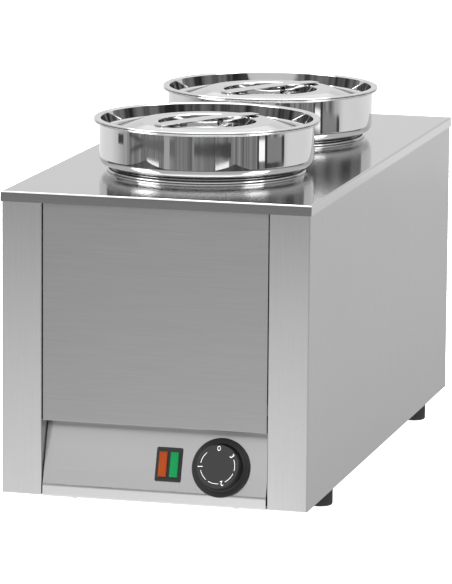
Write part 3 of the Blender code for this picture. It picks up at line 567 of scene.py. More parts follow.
panelLow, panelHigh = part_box("front_panel")
panelPath = [
    (panelLow.y + casing["panelTurnIn"], panelHigh.z), (panelLow.y, panelHigh.z),
    (panelLow.y, panelLow.z), (panelHigh.y, panelLow.z),
]
levelSheet("frontSheet", "front_panel", panelPath, casing["foldRadius"], panelSteelPaintedShade)

fasciaLow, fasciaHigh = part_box("control_fascia")
axis = knobTurn["axis"]
slopeUp = np.array([-axis[2], axis[1]])
footPoint = np.array([fasciaLow.y, 0.0])
footPoint[1] = knobTurn["pos_m"][2] - (knobTurn["pos_m"][1] - fasciaLow.y) / slopeUp[0] * slopeUp[1]
topZ = panelLow.z - casing["sheet"]
topPoint = footPoint + slopeUp * (topZ - footPoint[1]) / slopeUp[1]
fasciaPath = [
    (fasciaLow.y + casing["fasciaTurnIn"], fasciaLow.z), (fasciaLow.y, fasciaLow.z),
    tuple(footPoint), tuple(topPoint), (topPoint[0], fasciaHigh.z),
]
levelSheet("fasciaSheet", "control_fascia", fasciaPath, casing["foldRadius"], fasciaSteelPaintedSheen)


# A flat sheet with holes: each outline is drawn as a flat curve, filled, given its thickness and a softened
# edge, made a mesh, and stood up facing backwards.
def cutSheet(name, node, outlines, edge):
    low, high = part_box(node)
    curve = bpy.data.curves.new(name, "CURVE")
    curve.dimensions, curve.fill_mode = "2D", "BOTH"
    curve.extrude, curve.bevel_depth, curve.bevel_resolution = (high.y - low.y) / 2 - edge, edge, 1
    curve.offset = -edge
    for outline in outlines:
        spline = curve.splines.new("POLY")
        spline.points.add(len(outline) - 1)
        flat = np.zeros(len(outline))
        spline.points.foreach_set("co", np.column_stack([outline, flat, flat + 1]).ravel())
        spline.use_cyclic_u = True
    spots, faces = filledShape(curve)
    return np.column_stack([spots[:, 0], (low.y + high.y) / 2 - spots[:, 2], spots[:, 1]]), faces


rear = {
    "slotHalf": (19 * mm, 2.2 * mm), "slotPitch": (50 * mm, 11 * mm), "firstSlot": 180 * mm, "rows": 5,
    "glandHole": 8.2 * mm, "screwHole": 2.3 * mm, "corner": 1 * mm, "edge": 0.12 * mm,
}


# A closed circle of points round a hole's centre.
def ringOutline(centre, radius, steps=32):
    a = np.linspace(0, math.tau, steps, endpoint=False)
    return np.stack([centre[0] + radius * np.cos(a), centre[1] + radius * np.sin(a)], axis=1)


rearLow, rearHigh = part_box("rear_panel")
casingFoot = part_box("side_panel_left")[0].z
rearMiddle = middleOf("rear_panel")[[0, 2]]
rearHalf = ((rearHigh.x - rearLow.x) / 2, (rearHigh.z - rearLow.z) / 2)
rearOutlines = [roundedRectangle(*rearHalf, rear["corner"]) + rearMiddle]
slot = roundedRectangle(*rear["slotHalf"], rear["slotHalf"][1])
for row in range(rear["rows"]):
    slotZ = casingFoot + rear["firstSlot"] + row * rear["slotPitch"][1]
    for column in (-1, 0, 1):
        rearOutlines.append(slot + np.array([column * rear["slotPitch"][0], slotZ]))
glandMiddle = middleOf("cable_gland")[[0, 2]]
rearOutlines.append(ringOutline(glandMiddle, rear["glandHole"]))
rearScrews = [name for name in frame["nodes"] if name.startswith("rear_screw")]
for node in rearScrews:
    rearOutlines.append(ringOutline(middleOf(node)[[0, 2]], rear["screwHole"], 20))
makePiece(
    "rearSheet", *cutSheet("rearSheet", "rear_panel", rearOutlines, rear["edge"]), rearSteel, "housing",
    ["rear_panel"], "brushed_steel", grain=alongZ,
)

screw = {
    "head": 3.4 * mm, "rise": 2.0 * mm, "shank": 1.8 * mm, "length": 7 * mm,
    "slotHalf": 0.45 * mm, "slotReach": 1.8 * mm, "slotDepth": 0.9 * mm,
}


# A pan-head screw: dome height h(r) = rise sqrt(1 - (r / head)^4), sunk by a cross where the smaller of |x|
# and |y| is under the slot's half width; then the shank behind it.
def panScrew(place, length):
    shank = [screw["shank"], screw["shank"], 0.0]
    r = np.concatenate([np.linspace(0.02, 1, 20) * screw["head"], shank])[:, None]
    a = np.linspace(0, math.tau, 48, endpoint=False)
    x, y = r * np.cos(a), r * np.sin(a)
    dome = screw["rise"] * np.sqrt(np.clip(1 - (r / screw["head"]) ** 4, 0, 1)) + 0 * a
    inSlot = np.clip((screw["slotHalf"] - np.minimum(abs(x), abs(y))) / (0.25 * screw["slotHalf"]) + 0.5, 0, 1)
    inReach = np.clip((screw["slotReach"] - r) / (0.3 * mm), 0, 1)
    h = dome - screw["slotDepth"] * inSlot * inReach
    h[-3], h[-2:] = 0.0, -length
    grid = np.stack([place[0] + x, place[1] + h, place[2] + y], axis=-1)
    grid = np.concatenate([np.broadcast_to(grid[:1].mean(axis=1, keepdims=True), (1, 48, 3)), grid])
    return grid, gridFaces(len(grid), 48, closedColumns=True)


for node in rearScrews:
    middle = middleOf(node)
    middle[1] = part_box(node)[1].y - screw["rise"]
    height, side = node.split("_")[2:]
    name = f"rearScrew{height.capitalize()}{side.capitalize()}"
    makePiece(name, *panScrew(middle, screw["length"]), zincSteel, "housing", [node], "zinc_steel")

gland = {
    "bore": 4.2, "thread": 7.8, "collar": 11.4, "cap": 10.2, "mouth": 7.2, "out": 8.5, "inside": -15.0,
    "ribs": 18, "ribDepth": 0.45,
}


# The gland: rings of radius and height; the collar is six-sided, r = r0 cos 30 / cos(a mod 60 - 30), and
# the cap's grip is ribbed, r = r0 - depth (1 - cos(ribs a)) / 2.
def cableGland():
    rings = np.array([
        (gland["bore"], gland["out"], 0, 0), (gland["mouth"], gland["out"], 0, 0),
        (gland["cap"] - 0.9, 7.4, 0, 0.4), (gland["cap"], 6.0, 0, 1), (gland["cap"], 3.9, 0, 1),
        (gland["collar"], 3.7, 1, 0), (gland["collar"], 0.4, 1, 0), (gland["thread"], 0.3, 0, 0),
        (gland["thread"], gland["inside"], 0, 0), (gland["bore"], gland["inside"], 0, 0),
    ])
    a = np.linspace(0, math.tau, 144, endpoint=False)
    six = math.cos(math.pi / 6) / np.cos(np.mod(a, math.pi / 3) - math.pi / 6)
    rib = gland["ribDepth"] * (1 - np.cos(gland["ribs"] * a)) / 2
    r = (rings[:, :1] * np.where(rings[:, 2:3] > 0, six, 1) - rings[:, 3:4] * rib) * mm
    back = rearHigh.y + rings[:, 1:2] * mm + 0 * r
    grid = np.stack([glandMiddle[0] + r * np.cos(a), back, glandMiddle[1] + r * np.sin(a)], axis=-1)
    return grid, gridFaces(len(rings), len(a), closedRows=True, closedColumns=True)


makePiece("cableGland", *cableGland(), glandNylon, "housing", ["cable_gland"], "black_plastic", creaseAngle=30)
print("casing made")


# ---- wells, pots and lids

# Every outline here is (radius, height above the cover), turned about the pot's own axis.
well = {
    "inner": 89.2, "wall": 0.8, "beadOuter": 91.9, "beadRise": 2.3, "floor": -164.0, "corner": 6.0,
    "stud": 2.8, "studLength": 19.2,
}
pot = {
    "rim": 104.0, "band": 98.9, "neck": 88.2, "foot": 84.5, "base": -140.0, "wall": 1.0, "shoulder": 6.0,
    "bandFoot": 13.8, "bandTuck": 5.4, "seatRadius": 90.4, "seatHeight": 4.9,
    "rimTop": 46.8, "rimThickness": 1.8,
}
lid = {
    "rim": 104.0, "rimTop": 48.7, "rimInner": 97.6, "gutterOuter": 95.3, "gutterInner": 90.4,
    "plateauEdge": 61.0, "plateauDrop": 3.2, "gutterDrop": 12.0, "dishRadius": 44.0, "dishDepth": 14.0,
    "wall": 0.8,
}
roundSteps = 160


def wellOutline():
    lift = 0.2  # the bead's foot stands this far above the cover
    middle, half = (well["beadOuter"] + well["inner"]) / 2, (well["beadOuter"] - well["inner"]) / 2
    f = np.linspace(0, math.pi, 13)
    bead = np.stack([middle + half * np.cos(f), lift + (well["beadRise"] - lift) * np.sin(f)], axis=1)
    inside = softPath([bead[-1], (well["inner"], well["floor"]), (0, well["floor"])], well["corner"], 8)
    outer = well["inner"] + well["wall"]
    under = well["floor"] - well["wall"]
    below = softPath([(well["stud"], under), (outer, under), (outer, lift)], well["corner"], 8)
    stud = [(0, under - well["studLength"]), (well["stud"], under - well["studLength"])]
    return np.concatenate([bead, inside[1:], stud, below])


# The band's foot is a quarter ellipse: r = band - tuck (1 - sin f), height = bandFoot - (bandFoot -
# shoulder) cos f.
def potOutline():
    side, wall = pot["rimTop"] - pot["rimThickness"], pot["wall"]
    f = np.linspace(0, math.pi / 2, 13)
    drop = pot["bandFoot"] - pot["shoulder"]
    tuck = np.stack(
        [pot["band"] - pot["bandTuck"] * (1 - np.sin(f)), pot["bandFoot"] - drop * np.cos(f)], axis=1
    )
    seat = (pot["seatRadius"], pot["seatHeight"])
    below = softPath(
        [(0, pot["base"]), (pot["foot"], pot["base"]), (pot["neck"], 0), seat, tuple(tuck[0])], [9.0, 1.5, 1.2]
    )
    above = softPath([tuple(tuck[-1]), (pot["band"], side), (pot["rim"] - 1.2, side)], [0.8])
    lip = np.linspace(-math.pi / 2, math.pi / 2, 9)
    half = pot["rimThickness"] / 2
    edge = np.stack([pot["rim"] - half + half * np.cos(lip), side + half + half * np.sin(lip)], axis=1)
    innerTuck = np.stack(
        [tuck[:, 0] - wall * np.sin(f), pot["bandFoot"] - (drop - wall) * np.cos(f)], axis=1
    )[::-1]
    insideTop = softPath(
        [(pot["rim"] - 1.2, pot["rimTop"]), (pot["band"] - wall, pot["rimTop"]), tuple(innerTuck[0])], [1.6]
    )
    insideLow = softPath(
        [
            tuple(innerTuck[-1]), (89.5, 5.6), (pot["neck"] - wall, 0.4),
            (pot["foot"] - wall, pot["base"] + wall), (0, pot["base"] + wall),
        ],
        [1.0, 1.2, 8.0],
    )
    return np.concatenate([below[:-1], tuck, above[1:], edge, insideTop[:-1], innerTuck, insideLow[1:]])


def lidOutline():
    plateau, gutter = lid["rimTop"] - lid["plateauDrop"], lid["rimTop"] - lid["gutterDrop"]
    dish = lid["dishRadius"]
    upper = softPath(
        [
            (lid["rim"] - 0.8, lid["rimTop"]), (lid["rimInner"], lid["rimTop"]), (lid["gutterOuter"], gutter),
            (lid["gutterInner"], gutter - 0.1), (lid["plateauEdge"], plateau),
            (dish + 0.9, plateau), (dish - 0.6, plateau - lid["dishDepth"]), (0, plateau - lid["dishDepth"]),
        ],
        [1.3, 1.9, 2.2, 1.0, 1.5, 3.0],
        8,
    )
    sheet = sheetOutline(upper, lid["wall"])
    under = sheet[len(upper) :].copy()
    under[:, 0] = np.maximum(under[:, 0], 0)
    half = 0.8
    lip = np.linspace(-math.pi / 2, math.pi / 2, 9)
    edge = np.stack([lid["rim"] - half + half * np.cos(lip), lid["rimTop"] - half + half * np.sin(lip)], axis=1)
    skirt = [(99.2, lid["rimTop"] - 2 * half)]
    keep = under[:, 0] < 98.4
    return np.concatenate([edge, upper[1:], under[keep], skirt])


handle = {
    "length": 122 * mm, "width": 17 * mm, "endWidth": 13 * mm, "thickness": 1.2 * mm, "arch": 1.2 * mm,
    "turn": 58.0, "tipRadius": 2.5 * mm,
}


# The strap: at s along it, half width w(s) narrows towards the tips and closes round them, height h(s) =
# arch (1 - s^2).
def strapHandle(centreY):
    half = handle["length"] / 2
    s = np.sin(np.linspace(-math.pi / 2, math.pi / 2, 61))
    fromTip = half * (1 - np.abs(s))
    taper = np.clip((np.abs(s) - 0.78) / 0.22, 0, 1)
    width = (handle["width"] + (handle["endWidth"] - handle["width"]) * taper) / 2
    tip = handle["tipRadius"]
    inTip = np.clip(1 - fromTip / tip, 0, 1)
    width = width - tip * (1 - np.sqrt(1 - inTip**2))
    rise = 0.3 * mm + handle["arch"] * (1 - s**2)
    section = roundedRectangle(1.0, 1.0, 0.35, 3)
    u = np.sign(section[:, 0]) * np.abs(section[:, 0]) ** 0.25
    across = width[:, None] * u
    height = rise[:, None] + handle["thickness"] * (section[:, 1] + 1) / 2
    grid = np.stack([half * s[:, None] + 0 * across, across, height], axis=-1)
    tips = [row * np.array([1, 0, 0]) + np.array([0, 0, h + handle["thickness"] / 2])
            for row, h in ((grid[:1], rise[0]), (grid[-1:], rise[-1]))]
    grid = np.concatenate([tips[0], grid, tips[1]])
    turn = math.radians(handle["turn"])
    spin = np.array([[math.cos(turn), math.sin(turn), 0], [-math.sin(turn), math.cos(turn), 0], [0, 0, 1]])
    top = coverTop + (lid["rimTop"] - lid["plateauDrop"]) * mm
    return grid @ spin + np.array([0, centreY, top]), gridFaces(len(grid), grid.shape[1], closedColumns=True)


for each in pots:
    place, node, centre = each["place"], each["node"], (0, each["y"], coverTop)
    mirror = mirrorStainless(f"spun and buffed stainless, {node} pot", each["y"])
    rounds = (
        ("well", wellOutline(), wellSteel, "housing", "brushed_steel"),
        ("pot", potOutline(), mirror, f"{node}_pot", "polished_steel"),
        ("lid", lidOutline(), mirror, f"{node}_lid", "polished_steel"),
    )
    for kind, outline, finish, body, slotName in rounds:
        points, faces = turned(outline * mm, roundSteps, centre)
        makePiece(f"{kind}{place}", points, faces, finish, body, [f"{kind}_{node}"], slotName)
    points, faces = strapHandle(each["y"])
    makePiece(
        f"lidHandle{place}", points, faces, mirror, f"{node}_lid", [f"lid_handle_{node}"], "polished_steel"
    )
print("pots and lids made")


# ---- controls on the leaning face

knob = {
    "skirt": 26.75, "skirtTop": 2.9, "cap": 20.4, "face": 19.0, "height": 14.38, "gap": 0.6,
    "bore": 3.3, "boreTop": 10.5, "printRadius": 15.7, "printWidth": 0.38, "digitHeight": 4.3,
}


def knobPiece(name, points, faces, material, nodes=()):
    makePiece(name, onFace(points), faces, material, "control_knob", nodes, "black_plastic")


bodyTop = knob["height"] - 0.2
knobPath = softPath(
    [
        (0, bodyTop), (knob["cap"] - 1.1, bodyTop), (knob["cap"] + 0.2, knob["skirtTop"] + 0.1),
        (knob["skirt"], knob["skirtTop"]), (knob["skirt"], knob["gap"]), (knob["bore"], knob["gap"]),
        (knob["bore"], knob["boreTop"]), (0, knob["boreTop"]),
    ],
    [0.9, 1.6, 1.0, 0.3, 0.5, 0.3],
    5,
)
knobPoints, knobFaces = turned(knobPath * mm, 128)
knobPiece("knobBody", knobPoints, knobFaces, blackAbs, ["control_knob"])

faceFoot = knob["height"] - 0.3
facePath = softPath(
    [(0, faceFoot), (knob["face"], faceFoot), (knob["face"], knob["height"]), (0, knob["height"])], [0.05, 0.15]
)
facePoints, faceFaces = turned(facePath * mm, 96)
knobPiece("knobFace", facePoints, faceFaces, faceAbs)


# One thin printed arc: point = (r sin a, r cos a) between its two radii, lifted by the ink's thickness.
def printedArc(startDegrees, endDegrees, steps=14):
    turn = np.radians(np.linspace(startDegrees, endDegrees, steps))
    r = (knob["printRadius"] + knob["printWidth"] * np.array([-0.5, 0.5]))[:, None] * mm
    flat = np.stack([r * np.sin(turn), r * np.cos(turn), 0 * r + 0 * turn], axis=-1)
    lifts = np.array([0.02, 0.09]) * mm + knob["height"] * mm
    rings = np.stack([flat[0], flat[1], flat[1], flat[0]])
    rings[..., 2] = lifts[[0, 0, 1, 1]][:, None]
    faces = gridFaces(4, steps, closedRows=True)
    ends = np.array([[0, 1, 2, 3], [1, 4, 3, 2]]) * steps - np.array([[0], [1]])
    return rings, np.concatenate([faces, ends])


# One digit from the built-in typeface, made a mesh, centred, scaled to its height and turned to stand on
# its radius.
def printedDigit(text, narrowing, degrees):
    curve = bpy.data.curves.new("digit", "FONT")
    curve.body, curve.extrude, curve.resolution_u, curve.offset = text, 0.01, 6, -0.008
    spots, faces = filledShape(curve)
    low, high = spots.min(axis=0), spots.max(axis=0)
    spots = (spots - (low + high) / 2) / (high[1] - low[1]) * knob["digitHeight"] * mm
    spots[:, 0] *= narrowing
    spots[:, 2] = np.sign(spots[:, 2]) * 0.035 * mm + 0.055 * mm + knob["height"] * mm
    spots[:, 1] += (knob["printRadius"] + 0.2) * mm
    turn = math.radians(degrees)
    x = spots[:, 0] * math.cos(turn) + spots[:, 1] * math.sin(turn)
    y = spots[:, 1] * math.cos(turn) - spots[:, 0] * math.sin(turn)
    return np.column_stack([x, y, spots[:, 2]]), faces


arcs = [(65, 102), (112, 150), (172, 208), (218, 254), (278, 317)]
arcPoints, arcFaces = joined(*[printedArc(*span) for span in arcs])
knobPiece("dialArcs", arcPoints, arcFaces, printWhite)
digits = [("0", "O", 0.62, 0), ("3", "3", 1.0, 52), ("2", "2", 1.0, 161), ("1", "1", 1.0, 266)]
for digit, text, narrowing, degrees in digits:
    digitPoints, digitFaces = printedDigit(text, narrowing, degrees)
    knobPiece(f"dialDigit{digit}", digitPoints, digitFaces, printWhite)

lamp = {
    "width": 24.1, "height": 30.8, "proud": 2.0, "corner": 1.4, "lensWidth": 7.5, "lensHeight": 22.6,
    "lensProud": 3.6,
}
lampX = middleOf("lamp_bezel")[0] - knobTurn["pos_m"][0]


# The bezel is one slab with a soft front edge, and the two lenses stand a little proud of it.
w, h, r, top = lamp["width"] / 2, lamp["height"] / 2, lamp["corner"], lamp["proud"]
bezelGrid, bezelFaces = stackedSlab(
    [(w, h, r, 0.3), (w, h, r, top - 0.7), (w - 0.25, h - 0.25, r, top - 0.2), (w - 0.8, h - 0.8, r * 0.8, top)]
)
makePiece(
    "lampBezelFrame", onFace(bezelGrid * mm, lampX), bezelFaces, bezelAbs, "housing", ["lamp_bezel"],
    "black_plastic", creaseAngle=50,
)
for colour, dark, light in (("amber", "#7C3009", "#88380E"), ("green", "#006A38", "#04783F")):
    node = f"lamp_lens_{colour}"
    lensX = float(middleOf(node)[0])
    w, h, top = lamp["lensWidth"] / 2, lamp["lensHeight"] / 2, lamp["lensProud"]
    lensGrid, lensFaces = stackedSlab(
        [
            (w, h, 0.5, 1.0), (w, h, 0.5, top - 0.6), (w - 0.2, h - 0.2, 0.5, top - 0.15),
            (w - 0.7, h - 0.7, 0.4, top),
        ]
    )
    finish = lensPolycarbonate(f"{colour} polycarbonate lens", dark, light, lensX)
    makePiece(
        f"lamp{colour.capitalize()}Lens", onFace(lensGrid * mm, lensX - knobTurn["pos_m"][0]), lensFaces,
        finish, "housing", [node], f"{colour}_lens", creaseAngle=50,
    )
print("controls made")


# ---- feet and the rest of the frame

foot = {"radius": 11.5, "height": 14.2, "edge": 1.6, "recess": 5.2, "recessDepth": 9.0, "bore": 2.8}
footPath = softPath(
    [
        (foot["bore"], foot["height"]), (foot["radius"], foot["height"]), (foot["radius"], 0),
        (foot["recess"], 0), (foot["recess"], foot["recessDepth"]), (foot["bore"], foot["recessDepth"]),
    ],
    [0.4, foot["edge"], 0.5, 0.3],
    5,
)
for end in ("front", "rear"):
    for side in ("left", "right"):
        node = f"foot_{end}_{side}"
        middle = middleOf(node)
        middle[2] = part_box(node)[0].z
        name = f"foot{end.capitalize()}{side.capitalize()}"
        makePiece(name, *turned(footPath * mm, 64, middle), footRubber, "housing", [node], "black_rubber")

carried = {
    "base_plate": zincSteel, "bulb_clip": zincSteel, "earth_stud": zincSteel,
    "element_bar": zincSteel, "element_nut": zincSteel, "heating_element": zincSteel, "fascia_screw": zincSteel,
    "foot_screw": zincSteel, "thermostat_shaft": zincSteel,
    "gland_locknut": glandNylon, "capillary_tube": copper, "sensor_bulb": copper, "insulation": ceramicWool,
    "overheat_cutout": bakelite, "thermostat_body": bakelite, "terminal_block": steatite,
    "neon_lamp": lampGlass, "supply_lead": brownPvc, "heater_lead": bluePvc,
}
for name, node in frame["nodes"].items():
    if node.hide_render:
        continue
    finish = next(carried[start] for start in carried if name.startswith(start))
    node.data.materials.clear()
    node.data.materials.append(finish)
print("feet and inner parts finished")


# ---- studio: floor, reflectors, lamps and camera

# A large flat sheet on the floor, seen from above.
def flatSheet(name, low, high, level, material, hiddenFromCamera=False):
    (x0, y0), (x1, y1) = low, high
    mesh = bpy.data.meshes.new(name)
    mesh.from_pydata([(x0, y0, level), (x1, y0, level), (x1, y1, level), (x0, y1, level)], [], [(0, 1, 2, 3)])
    sheet = bpy.data.objects.new(name, mesh)
    bpy.context.scene.collection.objects.link(sheet)
    mesh.materials.append(material)
    if hiddenFromCamera:
        onlyInReflections(sheet)
    return sheet


def onlyInReflections(reflector):
    reflector.visible_camera = False
    reflector.visible_diffuse = False
    reflector.visible_shadow = False
    reflector.visible_transmission = False


# White matt paper: it glows a little, so that it stays plain and pale to its far end.
floorPaper, _, paperShader = newMaterial("white paper sweep, matt")
setShader(paperShader, Base_Color=hexToLinear("#F4F4F4"), Roughness=0.9)
setShader(paperShader, Emission_Color=(1, 1, 1, 1), Emission_Strength=0.85)
flatSheet("floor", (-40, -40), (40, 40), 0, floorPaper)

studio = {
    "nearTone": 1.13, "midTone": 0.92, "farTone": 0.34, "nearEdge": 0.30, "midEdge": 1.75, "farEdge": 2.60,
    "leftTone": 0.76, "rightTone": 1.16, "slantSpan": (-0.75, 0.05),
    "sideNear": 0.53, "sideFar": 0.62, "sideEdge": 0.143, "sideSpan": (0.15, 0.50),
    "roomTone": 0.86, "upperTone": 1.24, "overheadTone": 3.4,
}


def glowMaterial(name):
    material = bpy.data.materials.new(name)
    material.use_nodes = True
    material.node_tree.nodes.clear()
    return material, material.node_tree


def setGlow(tree, tone):
    glow = addNode(tree, "ShaderNodeEmission", Strength=tone)
    addNode(tree, "ShaderNodeOutputMaterial", Surface=(glow, 0))


# What the steel sees of the floor: bright close by, falling to grey in front, and duller beside the
# right-hand panel, by smooth steps of the distance.
def floorReflection():
    material, tree = glowMaterial("floor as the steel sees it")
    spot = addNode(tree, "ShaderNodeTexCoord")
    parts = addNode(tree, "ShaderNodeSeparateXYZ", Vector=(spot, "Object"))
    nearEdge, midEdge, farEdge = studio["nearEdge"], studio["midEdge"], studio["farEdge"]
    near = mapped(tree, (parts, "Y"), (-nearEdge, -midEdge), (studio["nearTone"], studio["midTone"]))
    farShare = studio["farTone"] / studio["midTone"]
    far = mapped(tree, (parts, "Y"), (-midEdge, -farEdge), (1.0, farShare), smooth=True)
    aside = mapped(tree, (parts, "X"), studio["sideSpan"], (studio["sideNear"], studio["sideFar"]))
    beside = addNode(
        tree, "ShaderNodeMath", {"operation": "GREATER_THAN"}, i0=(parts, "X"), i1=studio["sideEdge"]
    )
    sideTone = addNode(tree, "ShaderNodeMix", Factor=(beside, 0), A=1.0, B=(aside, 0))
    slant = mapped(tree, (parts, "X"), studio["slantSpan"], (studio["leftTone"], studio["rightTone"]))
    tone = near
    for share in (slant, far, sideTone):
        tone = addNode(tree, "ShaderNodeMath", {"operation": "MULTIPLY"}, i0=(tone, 0), i1=(share, 0))
    setGlow(tree, (tone, 0))
    return material


flatSheet("floorReflector", (-30, -30), (30, 30), 1 * mm, floorReflection(), hiddenFromCamera=True)


# A curved reflector round the front pot: point = (R sin a, cy - R cos a, z), with z between a low and a
# high edge that both run straight from the first angle to the last.
def curvedReflector(name, turnSpan, radius, lowEdge, highEdge, material):
    turn = np.radians(np.linspace(*turnSpan, max(2, int(abs(turnSpan[1] - turnSpan[0]) / 3) + 2)))
    share = (turn - turn[0]) / (turn[-1] - turn[0])
    low = lowEdge[0] + (lowEdge[1] - lowEdge[0]) * share
    high = highEdge[0] + (highEdge[1] - highEdge[0]) * share
    centreY = pots[0]["y"]
    x, y = radius * np.sin(turn), centreY - radius * np.cos(turn)
    grid = np.stack([np.stack([x, y, z], axis=-1) for z in (low, high)])
    mesh = bpy.data.meshes.new(name)
    mesh.from_pydata(grid.reshape(-1, 3), [], gridFaces(2, len(turn)))
    screen = bpy.data.objects.new(name, mesh)
    bpy.context.scene.collection.objects.link(screen)
    mesh.materials.append(material)
    onlyInReflections(screen)


cloth = {
    "turnSpan": (-118, 142), "radius": 3.0, "low": 0.30, "high": 1.15,
    "hemTone": 0.38, "hemTop": 0.60, "patchTones": (0.03, 0.24),
}


# Grey cloth behind the camera: an even hem low down, darker and patchy higher up, and open above.
def clothMaterial():
    material, tree = glowMaterial("grey cloth screen")
    spot = addNode(tree, "ShaderNodeTexCoord")
    parts = addNode(tree, "ShaderNodeSeparateXYZ", Vector=(spot, "Object"))
    folds = addNode(tree, "ShaderNodeTexNoise", Vector=(spot, "Object"), Scale=1.6, Detail=2.0)
    patches = mapped(tree, (folds, 0), (0.38, 0.66), cloth["patchTones"])
    rise = mapped(tree, (parts, "Z"), (cloth["low"], cloth["hemTop"]), (0.0, 1.0), smooth=True)
    tone = addNode(tree, "ShaderNodeMix", Factor=(rise, 0), A=cloth["hemTone"], B=(patches, 0))
    setGlow(tree, (tone, 0))
    return material


for name, low, high in (("frontCloth", cloth["low"], cloth["high"]), ("frontClothHem", 0, cloth["low"])):
    curvedReflector(name, cloth["turnSpan"], cloth["radius"], (low, low), (high, high), clothMaterial())


band = {
    "radius": 1.95, "low": 0.002, "high": 0.16, "sideTone": 0.98, "middleTones": (0.13, 0.44),
    "leftStep": (-1.90, -1.15), "rightStep": (1.55, 1.95),
}


# The low band of the room that the upright pot walls mirror: light at both sides, grey in the middle,
# streaked upright.
def roomBandMaterial():
    material, tree = glowMaterial("low band of the room")
    spot = addNode(tree, "ShaderNodeTexCoord")
    centred = addNode(tree, "ShaderNodeMapping", Vector=(spot, "Object"), Location=(0, -pots[0]["y"], 0))
    parts = addNode(tree, "ShaderNodeSeparateXYZ", Vector=(centred, 0))
    ahead = addNode(tree, "ShaderNodeMath", {"operation": "MULTIPLY"}, i0=(parts, "Y"), i1=-1.0)
    turn = addNode(tree, "ShaderNodeMath", {"operation": "ARCTAN2"}, i0=(parts, "X"), i1=(ahead, 0))
    streaks = addNode(
        tree, "ShaderNodeTexNoise", {"noise_dimensions": "1D"},
        W=(turn, 0), Scale=9.0, Detail=3.0, Roughness=0.7,
    )
    left = mapped(tree, (turn, 0), band["leftStep"], (1.0, 0.0), smooth=True)
    right = mapped(tree, (turn, 0), band["rightStep"], (0.0, 1.0), smooth=True)
    sides = addNode(tree, "ShaderNodeMath", {"operation": "MAXIMUM"}, i0=(left, 0), i1=(right, 0))
    middle = mapped(tree, (streaks, 0), (0.30, 0.70), band["middleTones"])
    tone = addNode(tree, "ShaderNodeMix", Factor=(sides, 0), A=(middle, 0), B=band["sideTone"])
    setGlow(tree, (tone, 0))
    return material


bandLow, bandHigh = (band["low"], band["low"]), (band["high"], band["high"])
curvedReflector("roomBand", (-180, 180), band["radius"], bandLow, bandHigh, roomBandMaterial())

# Things standing about the room: angle span, low edge, high edge (start and end) and how light they are.
roomThings = [
    ((-92, -83), (0.044, 0.044), (0.058, 0.058), 0.08),
    ((-74, -53), (0.058, 0.050), (0.064, 0.055), 0.08),
    ((-72, -53), (0.034, 0.047), (0.041, 0.054), 0.10),
    ((-64, -18), (0.052, 0.034), (0.054, 0.060), 0.20),
    ((-50, -36), (0.012, 0.016), (0.030, 0.026), 1.5),
    ((-30, -24), (0.006, 0.006), (0.066, 0.066), 0.55),
    ((2, 40), (0.040, 0.036), (0.056, 0.058), 0.09),
    ((24, 38), (0.012, 0.014), (0.026, 0.032), 1.5),
    ((69, 71), (0.005, 0.005), (0.075, 0.075), 0.06),
    ((71, 78), (0.030, 0.030), (0.060, 0.060), 1.6),
    ((78, 81), (0.005, 0.005), (0.075, 0.075), 0.06),
    ((81, 100), (0.028, 0.028), (0.062, 0.062), 0.34),
    ((100, 104), (0.024, 0.024), (0.064, 0.064), 0.08),
    ((81, 103), (0.020, 0.020), (0.028, 0.028), 0.08),
]
for index, (turnSpan, lowEdge, highEdge, tone) in enumerate(roomThings):
    material, tree = glowMaterial(f"room thing {index}")
    setGlow(tree, tone)
    radius = band["radius"] - 0.01 - 0.002 * index  # each stands just in front of the one before
    curvedReflector(f"roomThing{index}", turnSpan, radius, lowEdge, highEdge, material)

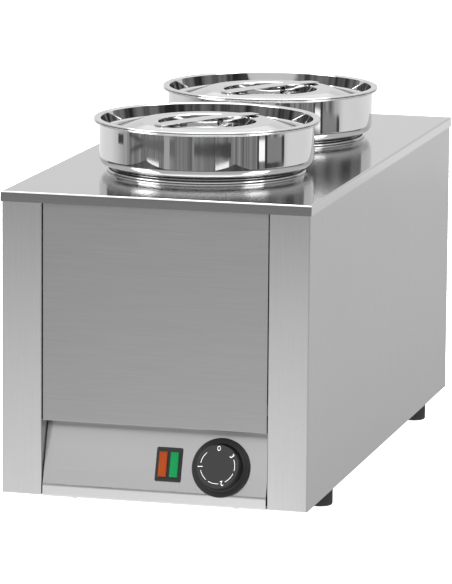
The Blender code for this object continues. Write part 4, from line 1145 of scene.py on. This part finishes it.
# The room above: even at eye height, lighter above that and brightest overhead, by smooth steps of the
# view's rise.
world = bpy.data.worlds.new("soft white room")
bpy.context.scene.world = world
world.use_nodes = True
air = world.node_tree
sky = addNode(air, "ShaderNodeTexCoord")
rise = addNode(air, "ShaderNodeSeparateXYZ", Vector=(sky, "Generated"))
upper = mapped(air, (rise, "Z"), (0.30, 0.42), (studio["roomTone"], studio["upperTone"]), smooth=True)
overhead = mapped(air, (rise, "Z"), (0.70, 0.96), (0.0, 1.0), smooth=True)
strength = addNode(air, "ShaderNodeMix", Factor=(overhead, 0), A=(upper, 0), B=studio["overheadTone"])
background = air.nodes["Background"]
background.inputs["Color"].default_value = hexToLinear("#FCFCFC")
air.links.new(strength.outputs[0], background.inputs["Strength"])


# A square softbox that faces the object's middle.
def softbox(name, position, size, power):
    lamp = bpy.data.lights.new(name, "AREA")
    lamp.shape, lamp.size, lamp.energy = "SQUARE", size, power
    holder = bpy.data.objects.new(name, lamp)
    bpy.context.scene.collection.objects.link(holder)
    away = np.array(position, float) - np.array([0, 0, 0.15])
    away = away / np.linalg.norm(away)
    side = np.cross((0, 0, 1), away)
    side = side / np.linalg.norm(side)
    turn = np.column_stack([side, np.cross(away, side), away])
    holder.matrix_world = Matrix.Translation(position) @ Matrix(turn.tolist()).to_4x4()


softbox("softboxLeft", (-2.2, -1.2, 2.0), 1.3, 45)
softbox("softboxRight", (2.4, -0.6, 2.2), 1.2, 30)
softbox("softboxAbove", (0.1, 0.6, 3.0), 1.8, 50)

shot = {"position": (1.040, -4.005, 0.901), "turn": 14.713, "tilt": 10.230, "roll": 0.456, "lens": 272.8}


# The camera's axes: back = (sin t cos e, -cos t cos e, sin e), right = (cos t, sin t, 0), then turned by
# the roll.
def placeCamera():
    t, e, roll = (math.radians(shot[key]) for key in ("turn", "tilt", "roll"))
    back = np.array([math.sin(t) * math.cos(e), -math.cos(t) * math.cos(e), math.sin(e)])
    right = np.array([math.cos(t), math.sin(t), 0])
    up = np.cross(back, right)
    axes = np.column_stack(
        [right * math.cos(roll) + up * math.sin(roll), up * math.cos(roll) - right * math.sin(roll), back]
    )
    data = bpy.data.cameras.new("camera")
    data.lens, data.sensor_width = shot["lens"], 36
    data.clip_start, data.clip_end = 0.05, 200
    camera = bpy.data.objects.new("camera", data)
    bpy.context.scene.collection.objects.link(camera)
    camera.matrix_world = Matrix.Translation(shot["position"]) @ Matrix(axes.tolist()).to_4x4()
    bpy.context.scene.camera = camera


placeCamera()
bpy.context.scene.view_settings.view_transform = "Standard"
print("studio made")
